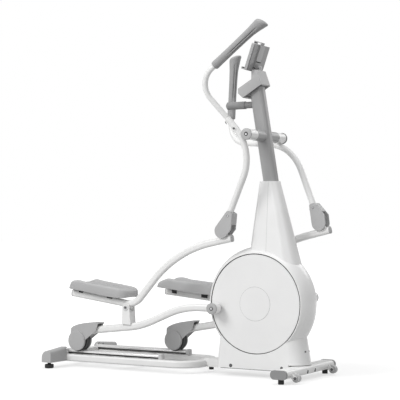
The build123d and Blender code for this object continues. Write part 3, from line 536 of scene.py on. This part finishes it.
def rim_height(x, y):
    """Height of the rim: the outer side's curve blended into the inner side's across the width."""
    share = np.clip((y - SOLE_MID + SOLE_HALF) / (2 * SOLE_HALF), 0, 1)
    return soft_line(x, OUTER_RIM, 0.005) * (1 - share) + soft_line(x, INNER_RIM, 0.005) * share


def under_height(x):
    """Height of the underside: a straight fall, then the nose curls up."""
    return soft_line(x, UNDERSIDE, 0.008)


def sole_plan(inset):
    """Plan of the foot plate, drawn in by an inset that also tightens its corners."""
    y0, y1 = SOLE_MID - SOLE_HALF, SOLE_MID + SOLE_HALF
    rear = max(0.004, HEEL_ROUND - inset)
    front = NOSE_ROUND - inset
    return round_plan(REAR + inset, FRONT - inset, y0 + inset, y1 - inset, rear, front, sides=60)


print("foot plate", round(FRONT - REAR, 3), "long")

# %% Pedal tray
# Inset of each row, and its place from the underside (0) to the rim (1)
TRAY_ROWS = [(0.034, 0.05), (0.007, 0.0), (0.0022, 0.0), (0.0006, 0.02), (0.0, 0.06), (0.0, 0.74),
             (0.0008, 0.87), (0.003, 0.96), (0.0062, 1.0), (0.009, 0.985), (0.0105, 0.92),
             (0.0115, 0.66), (0.014, 0.52)]
HEEL_LEAN = 0.010           # how far the heel's foot stands behind its rim
HEEL_FROM, HEEL_LENGTH = -0.575, 0.045


def pedal_tray_points():
    """z = under + level * (rim - under), row by row from below to the dish. Low rows near the heel
    stand further back, by a lean that grows towards the heel."""
    rows = []
    for inset, level in TRAY_ROWS:
        plan = sole_plan(inset)
        low = under_height(plan[:, 0])
        high = rim_height(plan[:, 0], plan[:, 1])
        lean = HEEL_LEAN * (1 - level) * np.clip((HEEL_FROM - plan[:, 0]) / HEEL_LENGTH, 0, 1)
        rows.append(np.column_stack([plan[:, 0] - lean, plan[:, 1], low + level * (high - low)]))
    return np.array(rows)


trays = pair("pedal_tray", pedal_tray_points(), grey_moulding, "grey_plastic", "pedal")
for tray, side in zip(trays, ("right", "left")):
    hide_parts("pedal_" + side)
print("trays", [round(d, 3) for d in trays[0].dimensions])


# %% [markdown]
# The tread is where a shoe stands: fine ribs across the tray, so that it doesn't slip. A bump
# map would show them but cast no shadow, so they are shape. A sheet of its own inside the rim
# has ribs as a sum of narrow bumps along X, and curls up to meet the rim on all sides.

# %% Pedal tread
TREAD_INSET = 0.0118
TREAD_LEVEL = 0.70          # where it meets the tray, from underside (0) to rim (1)
TREAD_DEPTH = 0.004
TREAD_FLOOR = [(REAR, 0.4385), (-0.560, 0.4345), (-0.504, 0.4275), (-0.347, 0.4065), (FRONT, 0.391)]
RIB_PITCH, RIB_HEIGHT = 0.014, 0.0016
RIB_AT = -0.38              # X of one rib's top


def tread_points():
    """z = floor + rib height * |cos|^6 along X, on a grid that fills the rim's inside."""
    u = np.linspace(0, 1, 201)
    v = np.linspace(-1, 1, 25)
    radius = NOSE_ROUND - TREAD_INSET
    end = FRONT - TREAD_INSET
    x = (REAR + TREAD_INSET) * (1 - u) + end * u
    bend = np.clip(x - (end - radius), 0, radius)
    half = SOLE_HALF - TREAD_INSET - radius + np.sqrt(radius ** 2 - bend ** 2)
    x = x[:, None] + 0 * v
    y = SOLE_MID + half[:, None] * v
    low = under_height(x)
    edge = low + TREAD_LEVEL * (rim_height(x, y) - low)
    flat = np.interp(x, *np.array(TREAD_FLOOR).T)
    ribs = RIB_HEIGHT * np.abs(np.cos(math.pi * (x - RIB_AT) / RIB_PITCH)) ** 6
    lengthwise = np.clip((np.minimum(u, 1 - u) - 0.015) * 40, 0, 1)[:, None]
    inside = lengthwise * np.clip((1 - np.abs(v)) * 12, 0, 1)
    z = edge * (1 - inside) + (flat + ribs) * inside
    top = np.stack([x, y, z], -1)
    return np.concatenate([top, (top - [0, 0, TREAD_DEPTH])[:, ::-1]], axis=1)


pair("pedal_tread", tread_points(), grey_moulding, "grey_plastic", "pedal", sharp=50)
print("ribs on a tread: about", int((FRONT - REAR) / RIB_PITCH))

# %% [markdown]
# Two rubber saddles carry a tray on its arm. They are soft-cornered blocks, and as the arm falls
# towards the front, each block is sheared by the arm's own slope so that it sits flat on it.

# %% The saddles that hold a pedal on its arm
ARM_FALL = -0.1325          # slope of the pedal arm under the sole
ARM_REAR = (-0.632, 0.380)  # X and Z of the arm's rear end
SEAT_RISE = 0.0155          # from its middle line to the saddles' seat
SADDLES = [(-0.594, -0.563, 0.424), (-0.417, -0.379, 0.399)]    # rear, front and top of each
SADDLE_OUT, SADDLE_IN = 0.0140, 0.0185      # reach to both sides of the arm's middle plane
SADDLE_SUNK, SADDLE_CORNER = 0.020, 0.004


def block_points(x0, x1, y0, y1, z0, z1, radius):
    """Box with round upright corners and softened top and bottom rims."""
    rows = []
    soft = radius * 0.5
    for inset, z in ((soft, z0), (0, z0 + soft), (0, z1 - soft), (soft, z1)):
        plan = round_plan(x0 + inset, x1 - inset, y0 + inset, y1 - inset, radius, radius, 8)
        rows.append(np.column_stack([plan, np.full(len(plan), z)]))
    return np.array(rows)


for number, (rear, front, top) in enumerate(SADDLES):
    seat = ARM_REAR[1] + ARM_FALL * (rear - ARM_REAR[0]) + SEAT_RISE
    saddle = block_points(rear, front, -PEDAL_Y - SADDLE_OUT, -PEDAL_Y + SADDLE_IN,
                          seat - SADDLE_SUNK, top, SADDLE_CORNER)
    saddle[..., 2] += ARM_FALL * (saddle[..., 0] - rear)
    pair(f"pedal_saddle_{number + 1}", saddle, rubber_and_painted_shade, "black_rubber", "pedal")
print("saddles for each pedal:", len(SADDLES))

# %% [markdown]
# ## Grips
# A grip is foam over the tube: it swells a little towards its end and finishes in a domed head
# that reaches further on the finger side. Four grooves run along the finger side and stop short
# of the head. Cutting them with booleans would leave hard edges that foam doesn't have, so the
# radius itself is a formula: swell, plus head, minus a soft dip at each groove.

# %% The grip's own directions
ELBOW = np.array([0.190, -0.263, 1.419])
BAR_TIP = np.array([0.514, -0.254, 1.670])
GRIP_COVER = 0.289          # length of tube inside the grip
ALONG = (BAR_TIP - ELBOW) / np.linalg.norm(BAR_TIP - ELBOW)
FINGER = np.array([1.0, 0, 0]) - ALONG[0] * ALONG     # square to the grip, forward and down
FINGER /= np.linalg.norm(FINGER)
BESIDE = np.cross(ALONG, FINGER)
GRIP_LOW = BAR_TIP - ALONG * GRIP_COVER
print("finger side faces", FINGER.round(3))

# %% Grip surface
SWELL = [(0, 0.0165), (0.001, 0.0185), (0.004, 0.0203), (0.009, 0.0210), (0.05, 0.0205),
         (0.12, 0.0203), (0.20, 0.0210), (0.25, 0.0222), (0.288, 0.0245), (0.310, 0.0258),
         (0.3175, 0.0232), (0.320, 0.0205), (0.322, 0.0165), (0.3235, 0.011), (0.3245, 0.004)]
FULL_RADIUS = 0.036                     # of the head on the finger side, about
GROOVE_ANGLES = (-54, -18, 18, 54)      # degrees from the middle of the finger side
GROOVE_DEPTH, GROOVE_SPREAD = 0.0034, 7
GROOVES_FROM, GROOVES_TO = 0.085, 0.284     # along the grip
HEAD_FROM, HEAD_END = 0.228, 0.325
HEAD_REACH, HEAD_SLANT = 0.011, 0.014


def ramp(s, start, length):
    """0 before start, 1 after start + length and a straight line between."""
    return np.clip((s - start) / length, 0, 1)


def grip_points():
    """r(s, t) = swell(s) + head(s) (0.5 + 0.5 cos t)^2 - grooves, and the head's rows slant by cos t."""
    swell_s, swell_r = np.array(SWELL).T
    s = np.concatenate([swell_s[:4], np.linspace(0.013, 0.270, 43), np.linspace(0.273, 0.315, 17),
                        swell_s[-5:]])
    swell = np.interp(s, swell_s, swell_r)
    closing = np.clip((HEAD_END - s) / 0.008, 0, 1) ** 0.5
    head = HEAD_REACH * ramp(s, HEAD_FROM, 0.084) ** 2 * closing
    t = np.linspace(0, 2 * math.pi, 144, endpoint=False)
    turn = (t + math.pi) % (2 * math.pi) - math.pi
    radius = swell[:, None] + head[:, None] * (0.5 + 0.5 * np.cos(t)) ** 2
    grooved = ramp(s, GROOVES_FROM, 0.030) * np.clip((GROOVES_TO - s) / 0.006, 0, 1)
    for angle in GROOVE_ANGLES:
        groove = np.exp(-((turn - math.radians(angle)) / math.radians(GROOVE_SPREAD)) ** 2)
        radius -= GROOVE_DEPTH * grooved[:, None] * groove
    slant = HEAD_SLANT * np.cos(t) * ramp(s, 0.24, 0.06)[:, None] ** 2 * (radius / FULL_RADIUS)
    circle = np.cos(t)[:, None] * FINGER + np.sin(t)[:, None] * BESIDE
    return GRIP_LOW + (s[:, None] + slant)[..., None] * ALONG + radius[..., None] * circle[None]


grips = pair("grip_foam", grip_points(), grip_foam, "grip_foam", "bar", sharp=60)
for grip, side in zip(grips, ("right", "left")):
    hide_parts("grip_" + side)
print("grips", [round(d, 3) for d in grips[0].dimensions])

# %% [markdown]
# ## Screws, washers and end caps
# A screw here is a domed head with a round recess for the key, in a dark seat. A boolean for
# each recess would be slow and leave slivers. A profile turned round the screw's axis holds the
# dome and the recess in one line of points, as shares of the screw's radius. The larger caps and
# washers are turned in the same way, from profiles in millimetres.

# %% Screws
MM = 0.001
HEAD = [(0, 1), (0.18, 1), (0.34, 0.86), (0.42, 0.6), (0.42, 0.34), (0.26, 0.30), (0.26, 0.01)]
SEAT = [(0, 1.42), (0.07, 1.42), (0.10, 1.34), (0.07, 1.0), (0, 1.0)]


def scaled(profile, size):
    """Profile with both measures of every point times the size."""
    return [(s * size, r * size) for s, r in profile]


def screw(name, centre, outward, radius, level, ring=True, paint=turned_steel):
    """Round head and its dark seat on a face; level says which body they ride on."""
    head = turned_points(centre, outward, scaled(HEAD, radius), 28)
    pair(name + "_head", head, paint, "steel", level)
    if ring:
        seat = turned_points(centre, outward, scaled(SEAT, radius), 40)
        pair(name + "_seat", seat, rubber_and_painted_shade, "black_rubber", level, hoop=True)


COVER_Y = PEDAL_Y + 0.027             # outer face of the lower joint's cover
COVER_SCREW = (LOWER[0] + 0.0365, LOWER[1] + 0.0715)
for where, y, outward in (("out", -COVER_Y, -1), ("in", COVER_Y - 2 * PEDAL_Y, 1)):
    screw(f"cover_screw_{where}", (COVER_SCREW[0], y, COVER_SCREW[1]), (0, outward, 0), 4 * MM, "bar")
print("cover screws at", [round(c, 4) for c in COVER_SCREW])

# %% Caps over the crank's end and the handlebar axle's end
CAP = [(0, 27.8), (6, 27.8), (7.6, 27.0), (8.4, 25.4), (8.4, 10.4), (7.2, 9.6), (7.2, 0.1)]
CAP_RING = [(7.0, 9.7), (8.5, 9.7), (8.7, 9.0), (8.5, 6.2), (7.0, 6.2)]
CAP_BOLT = [(7.0, 6.0), (9.4, 5.6), (10.0, 4.4), (9.2, 3.6), (9.2, 0.1)]
BUSH_END, AXLE_END = 0.140, 0.1852    # how far from the middle plane the crank bush and the axle end


def turned_pair(name, centre, outward, profile, steps, paint, slot, level, **shape):
    """Profile in millimetres carried round the line from centre outward, on the right and the left."""
    points = turned_points(centre, outward, scaled(profile, MM), steps)
    pair(name, points, paint, slot, level, **shape)


def end_cap(name, centre, level):
    """Moulded cap with a dark ring round a bright bolt, facing away from the machine."""
    for suffix, profile, paint, slot in (("shell", CAP, grey_moulding, "grey_plastic"),
                                         ("ring", CAP_RING, rubber_and_painted_shade, "black_rubber"),
                                         ("bolt", CAP_BOLT, turned_steel, "steel")):
        turned_pair(f"{name}_{suffix}", centre, (0, -1, 0), profile, 64, paint, slot, level,
                    hoop=suffix == "ring", sharp=30)


end_cap("crank_end", (PIN[0], -BUSH_END, PIN[1]), "arm")
end_cap("axle_end", (BAR_AXLE[0], -AXLE_END, BAR_AXLE[1]), "bar")
print("cap radius", CAP[0][1], "mm")

# %% Bolts at the pedal arm's pivot
WASHER = [(0, 15.0), (1.8, 15.0), (2.4, 14.2), (2.4, 11.6), (1.9, 11.0), (1.9, 0.1)]
PIVOT_RING = [(1.6, 8.6), (2.5, 8.6), (2.7, 8.0), (2.5, 6.0), (1.6, 6.0)]
PIVOT_EDGE = [(0, 17.0), (0.5, 17.0), (0.7, 16.2), (0.5, 14.6), (0, 14.6)]
PIVOT_Y = -PEDAL_Y - 0.026            # face of the pivot's bracket
NUT_Y = PIVOT_Y - 0.0018              # the nut stands in the washer's dish
NUT_RADIUS, NUT_HEIGHT = 0.0068, 0.0056


def hexagon_points(centre, outward, radius, height):
    """Six-sided nut: corners at equal angles, a chamfered top row and a recess in the middle."""
    profile = [(0, radius), (height * 0.8, radius), (height, radius * 0.86),
               (height, radius * 0.45), (height * 0.6, radius * 0.40), (height * 0.6, 0.0002)]
    return turned_points(centre, outward, profile, 6)


pivot_face = (PIVOT[0], PIVOT_Y, PIVOT[1])
turned_pair("pivot_washer", pivot_face, (0, -1, 0), WASHER, 48, white_coat, "white_paint", "arm",
            sharp=30)
turned_pair("pivot_ring", pivot_face, (0, -1, 0), PIVOT_RING, 48, rubber_and_painted_shade, "black_rubber",
            "arm", hoop=True)
turned_pair("pivot_edge", pivot_face, (0, -1, 0), PIVOT_EDGE, 48, pale_moulding,
            "light_grey_plastic", "arm", hoop=True)
nut = hexagon_points((PIVOT[0], NUT_Y, PIVOT[1]), (0, -1, 0), NUT_RADIUS, NUT_HEIGHT)
pair("pivot_hexagon", nut, cast_iron, "cast_iron", "arm", sharp=20)
print("pivot at", [round(c, 3) for c in PIVOT])

# %% [markdown]
# ## Plugs, discs and rings
# The pedal arm's tube ends in moulded plugs, which close it and hide its cut edge. A plug is the
# tube's own section, carried outwards by a few rows that grow and shrink a little. That leaves
# the small step and the rounded face that a pressed-in plug has.

# %% Plugs in the ends of the pedal arms
# How far out each row of the plug stands, and its scale against the tube
PLUG = [(-0.006, 0.9), (-0.0002, 0.9), (-0.0002, 1.02), (0.0035, 1.02), (0.0052, 0.96),
        (0.0058, 0.86)]
ARM_SECTION = (0.030, 0.036, 0.013)   # width, height and corner of the tube
ARM_FRONT = (0.309, 0.6714)
FRONT_SLOPE = 0.2095        # of the arm's front end


def plug_points(end, outward):
    """Row = end + depth * outward + scale * tube section, for each depth and scale of the plug."""
    d = np.array(outward, float) / np.linalg.norm(outward)
    up = np.cross(d, (0, 1, 0))
    if up[2] < 0:
        up = -up
    width, height, corner = ARM_SECTION
    section = round_plan(-width / 2, width / 2, -height / 2, height / 2, corner, corner, 10)
    rows = []
    for depth, scale in PLUG:
        flat = section * scale
        rows.append(np.array(end) + depth * d + flat[:, :1] * np.array([0, 1, 0]) + flat[:, 1:] * up)
    return np.array(rows)


for end, (x, z), outward in (("rear", ARM_REAR, (-1, 0, -ARM_FALL)),
                             ("front", ARM_FRONT, (1, 0, FRONT_SLOPE))):
    pair(f"arm_plug_{end}", plug_points((x, -PEDAL_Y, z), outward), grey_moulding, "grey_plastic",
         "pedal")
print("plug rows:", len(PLUG))

# %% [markdown]
# The roller cover carries a flat raised disc on both sides, round the roller's axle. It is a low
# dome with a soft rim, which catches a thin line of light that a flat circle would not.

# %% Raised disc on each side of the roller cover
DISC_EDGE = [(-0.4, 51.0), (0.4, 51.0), (1.2, 50.6), (1.8, 49.4), (2.0, 46.0), (2.2, 30.0), (2.3, 0.1)]
COVER_FACE = 0.033          # middle of the roller cover to its faces
for where, outward in (("out", -1), ("in", 1)):
    face = (AXLE[0], -RAIL_Y + outward * COVER_FACE, AXLE[1])
    turned_pair(f"roller_disc_{where}", face, (0, outward, 0), DISC_EDGE, 96, grey_moulding,
                "grey_plastic", "arm", sharp=30)
print("roller discs", DISC_EDGE[0][1], "mm in radius")

# %% [markdown]
# Each crank disc turns in a narrow gap in the housing, dark with shade, with a rounded white bead
# round the gap and a thin line round the disc's own middle cap. A dark line drawn on a flat face would
# look painted on. A black ring of its own, set in the gap, paints the gap's shade and has a width and an edge from
# every side.

# %% Painted shade in the gap, and thin middle line of the crank discs
GAP_SHADE = [(0, 239.8), (9.5, 239.8), (9.65, 243.5), (9.3, 243.5), (9.3, 242.4), (0, 242.4)]
LINE = [(0, 80.8), (0.35, 81.0), (0.35, 82.7), (0, 82.9)]
BEAD = [(0, 243.4), (0.8, 243.6), (1.1, 244.6), (1.1, 246.0), (0, 247.4)]
GAP_Y, DISC_FACE = 0.0705, 0.080      # bottom of the gap and face of the disc, from the middle plane
for side, sign in (("right", -1), ("left", 1)):
    out = (0, sign, 0)
    bottom = (CRANK[0], sign * GAP_Y, CRANK[1])
    face = (CRANK[0], sign * DISC_FACE, CRANK[1])
    # the black ring in the gap is painted shade
    surface(f"disc_gap_shade_{side}", turned_points(bottom, out, scaled(GAP_SHADE, MM), 160), rubber_and_painted_shade,
            "root", "black_rubber", hoop=True)
    surface(f"housing_bead_{side}", turned_points(face, out, scaled(BEAD, MM), 160), white_shell,
            "root", "white_plastic", hoop=True, sharp=60)
    surface(f"disc_line_{side}", turned_points(face, out, scaled(LINE, MM), 120), grey_moulding,
            "crank", "grey_plastic", hoop=True)
print("gap radius", GAP_SHADE[0][1], "mm")

# %% [markdown]
# The housing, the front stabiliser and the handlebars are held by dark screws of several sizes.
# Placing each by hand would repeat the same steps, so one table says where each stands, which
# way it faces and how large it is, and the screw's own function does the rest.

# %% Screws of the housing, the front stabiliser and the handlebars
# Name, place, direction, radius in millimetres, level, and whether it has a dark seat
DARK_SCREWS = [
    ("housing_screw_rear", (0.278, -0.0862, 0.051), (0, -1, 0), 6, "fixed", True),
    ("housing_screw_front", (0.554, -0.0846, 0.054), (0, -1, 0), 5, "fixed", True),
    ("housing_screw_nose", (0.6486, -0.0200, 0.131), (0.97, -0.24, 0.17), 4.5, "fixed", True),
    ("stabiliser_bolt", (0.6710, -0.041, 0.040), (1, 0, -0.1), 6, "fixed", True),
    ("bar_bolt_low", (0.3581, -0.2000, 1.1970), (0.2, -1, -0.15), 4, "bar", True),
    ("bar_bolt_rear", (0.3093, -0.1880, 1.2266), (-0.85, -0.3, -0.5), 6.5, "bar", True),
    ("bar_bolt_front", (0.3345, -0.1800, 1.2486), (0.7, -0.2, 0.7), 3.5, "bar", False),
]
for name, place, outward, size, level, ring in DARK_SCREWS:
    screw(name, place, outward, size * MM, level, ring=ring, paint=cast_iron)
print("dark screws on each side:", len(DARK_SCREWS))


# %% [markdown]
# ## Lines, and painted shade in small openings
# Where two mouldings meet there is a fine line, and a grip's groove is darkest at its bottom,
# where shade falls. A painted line would need a texture. A thin bead, half sunk in the surface and
# following it, gives the same line from every side; the dark beads in the grooves are painted shade.

# %% A thin bead along a line of points
def bead_points(path, radius, steps=10):
    """Circles of one radius round each point of the path, square to the path's own direction."""
    line = np.array(path, float)
    ahead = np.gradient(line, axis=0)
    t = np.linspace(0, 2 * math.pi, steps, endpoint=False)[:, None]
    rows = []
    for centre, way in zip(line, ahead):
        d, a, b = across(way)
        rows.append(centre + radius * (np.cos(t) * a + np.sin(t) * b))
    return np.array(rows)


print("beads ready")

# %% Seam of the tower and line of the housing's foot
TOWER_LOW, TOWER_HIGH = (0.072, 0.520), (0.038, 0.948)   # half width and height of its two ends
SEAM_X, SEAM_LOW, SEAM_HIGH = 0.4600, 0.606, 0.946
SEAM_SUNK = 0.0002          # how far the seam's middle lies inside the face
seam_z = np.linspace(SEAM_LOW, SEAM_HIGH, 12)
seam_y = -np.interp(seam_z, [TOWER_LOW[1], TOWER_HIGH[1]], [TOWER_LOW[0], TOWER_HIGH[0]])
seam = np.stack([np.full_like(seam_z, SEAM_X), seam_y + SEAM_SUNK, seam_z], 1)
pair("tower_seam", bead_points(seam, 0.0007), pale_moulding, "light_grey_plastic", "fixed")

FOOT_REAR, FOOT_FRONT = (0.222, 0.0870), (0.586, 0.0850)     # X and half width of the line's ends
FOOT_LINE_Z = 0.0378
foot_x = np.linspace(FOOT_REAR[0], FOOT_FRONT[0], 14)
foot_y = -np.interp(foot_x, [FOOT_REAR[0], FOOT_FRONT[0]], [FOOT_REAR[1], FOOT_FRONT[1]])
foot_line = np.stack([foot_x, foot_y, np.full_like(foot_x, FOOT_LINE_Z)], 1)
pair("housing_foot_line", bead_points(foot_line, 0.0014), cast_iron, "cast_iron", "fixed")
print("seam", round(SEAM_HIGH - SEAM_LOW, 3), "long")

# %% Dark beads of painted shade at the bottom of the grip's grooves
GROOVE_LINE = SWELL[3:8] + [(0.288, 0.0250)]    # foam's radius beside the grooves
GROOVE_SHADE_BEAD, BEAD_SUNK = 0.0011, 0.0030


def groove_points(angle):
    """Path along one groove, just under the foam's surface, at an angle round the grip."""
    s = np.linspace(0.112, 0.280, 32)
    radius = np.interp(s, *np.array(GROOVE_LINE).T)
    t = math.radians(angle)
    way = math.cos(t) * FINGER + math.sin(t) * BESIDE
    return GRIP_LOW + s[:, None] * ALONG + (radius - BEAD_SUNK)[:, None] * way


# dark beads along the bottoms of the grooves: painted shade
for number, angle in enumerate(GROOVE_ANGLES):
    pair(f"grip_groove_{number + 1}", bead_points(groove_points(angle), GROOVE_SHADE_BEAD), rubber_and_painted_shade,
         "black_rubber", "bar")
print("grooves on each grip:", len(GROOVE_ANGLES))

# %% [markdown]
# A thin collar shows where the handlebar's two tubes meet, and a foam sleeve covers the neck of
# the fixed grip where it leaves the mast. Both are short rings, turned from a closed profile.

# %% Collar of the handlebar and neck of the fixed grip
COLLAR = [(0, 14.4), (0, 15.1), (1.4, 15.1), (1.4, 14.4)]
COLLAR_AT, COLLAR_WAY = (0.3153, -0.1860, 1.2538), (-128, -77, 172)
NECK = [(0, 15.0), (0.4, 16.2), (41.0, 16.2), (42.0, 15.0)]
NECK_AT = (0.3168, 0, 1.326)
turned_pair("bar_collar", COLLAR_AT, COLLAR_WAY, COLLAR, 48, pale_moulding, "light_grey_plastic",
            "bar", hoop=True)
surface("fixed_grip_neck", turned_points(NECK_AT, (1, 0, 0), scaled(NECK, MM), 48), dark_foam,
        "root", "grip_foam", hoop=True)
print("neck", NECK[-1][0], "mm long")

# %% [markdown]
# The tablet holder's back has a channel for the clip's slide and a box with a slot under it. The
# blocks are drawn upright, in the holder's own place, where their sizes are easy to read. Then
# they lean back together with the holder. The black blocks in the slots and the dark one in the edge groove are
# painted shade.

# %% Tablet holder's back
HOLDER_LEAN = math.radians(19.5)
HOLDER_FOOT = (0.359, 1.489)
HOLDER_CORNER = 0.0006
CHANNEL, BOX, SLOT = (-0.0235, 0.0235), (-0.0240, 0.0240), (-0.0215, 0.0215)     # their ranges in Y
# Name, ranges in X, Y and Z before the lean, finish and slot
HOLDER_BLOCKS = [
    ("channel_plate", (0.0098, 0.0112), CHANNEL, (0.054, 0.1335), pale_moulding, "light_grey_plastic"),
    # the black and dark blocks in the slots and the edge groove are painted shade
    ("channel_slot", (0.0096, 0.0106), CHANNEL, (0.0475, 0.053), rubber_and_painted_shade, "black_rubber"),
    ("box", (0.0035, 0.0120), BOX, (0.022, 0.0475), mast_coat, "mast_grey"),
    ("box_slot", (0.0036, 0.0112), SLOT, (0.0175, 0.0218), rubber_and_painted_shade, "black_rubber"),
    ("edge_groove", (0.0036, 0.0043), (-0.0760, -0.0715), (0.006, 0.129), cast_iron, "cast_iron"),
]


def leaning(points):
    """From the holder's own upright place to its leaning place on the console."""
    x, z = points[..., 0], points[..., 2]
    out = points.copy()
    out[..., 0] = HOLDER_FOOT[0] + x * math.cos(HOLDER_LEAN) + z * math.sin(HOLDER_LEAN)
    out[..., 2] = HOLDER_FOOT[1] - x * math.sin(HOLDER_LEAN) + z * math.cos(HOLDER_LEAN)
    return out


for name, x, y, z, paint, slot in HOLDER_BLOCKS:
    block = leaning(block_points(*x, *y, *z, HOLDER_CORNER))
    surface("holder_" + name, block, paint, "holder", slot)
print("blocks on the holder:", len(HOLDER_BLOCKS))

# %% [markdown]
# Under the console its two shells meet in a lip along the edge, and a recess, dark with shade, lies
# between the lips. The lip is a bead once more, and the recess is a thin dark slab set in the slanting face:
# painted shade.

# %% Console's underside
LIP_Y, RECESS_Y = 0.0435, 0.0385
LIP_LOW, LIP_HIGH = np.array([0.3250, 1.3578]), np.array([0.4262, 1.4175])      # X and Z
RECESS_LOW, RECESS_HIGH = (0.3302, 1.3682), (0.4165, 1.4188)
RECESS_DEEP = 1.5 * np.array([-0.0005, 0, 0.0009])      # from its lower face to its upper one
lip = np.linspace(0, 1, 10)[:, None] * (LIP_HIGH - LIP_LOW) + LIP_LOW
lip_path = np.column_stack([lip[:, 0], np.full(len(lip), -LIP_Y), lip[:, 1]])
pair("console_lip_line", bead_points(lip_path, 0.0009), cast_iron, "cast_iron", "fixed")
(low_x, low_z), (high_x, high_z) = RECESS_LOW, RECESS_HIGH
corners = np.array([(low_x, -RECESS_Y, low_z), (high_x, -RECESS_Y, high_z),
                    (high_x, RECESS_Y, high_z), (low_x, RECESS_Y, low_z)])
recess = np.array([corners - RECESS_DEEP, corners])
# dark slab in the recess: painted shade
surface("console_recess_floor", recess, cast_iron, "root", "cast_iron")
print("recess", round(2 * RECESS_Y, 3), "wide")


# %% [markdown]
# ## Soft edges
# Moulded and cast pieces have no knife edges: a small round catches the light along each one.
# The solids stay as they are, so a modifier does it. Their meshes are merged first, because the
# faces of a solid come in apart, and then every edge sharper than the limit gets its round.

# %% Merge and round the edges of the moulded solids
SOFT_EDGES = {"console_shell": 1.6, "tablet_holder": 1.0, "rail_clamps": 2.0, "tablet_clip": 0.6,
              "roller_cover_right": 1.2, "roller_cover_left": 1.2, "handlebar_covers_right": 1.4,
              "handlebar_covers_left": 1.4, "front_end_caps": 2.5, "rear_covers": 1.5}
MERGE_WITHIN = 0.00002
SHARP = math.radians(35)
for node, width in SOFT_EDGES.items():
    solid = frame["nodes"][node]
    merge = solid.modifiers.new("merge", "WELD")
    merge.merge_threshold = MERGE_WITHIN
    soften = solid.modifiers.new("soften", "BEVEL")
    soften.width = width * MM
    soften.segments = 3
    soften.limit_method = "ANGLE"
    soften.angle_limit = SHARP
    soften.harden_normals = True
print("softened", len(SOFT_EDGES))
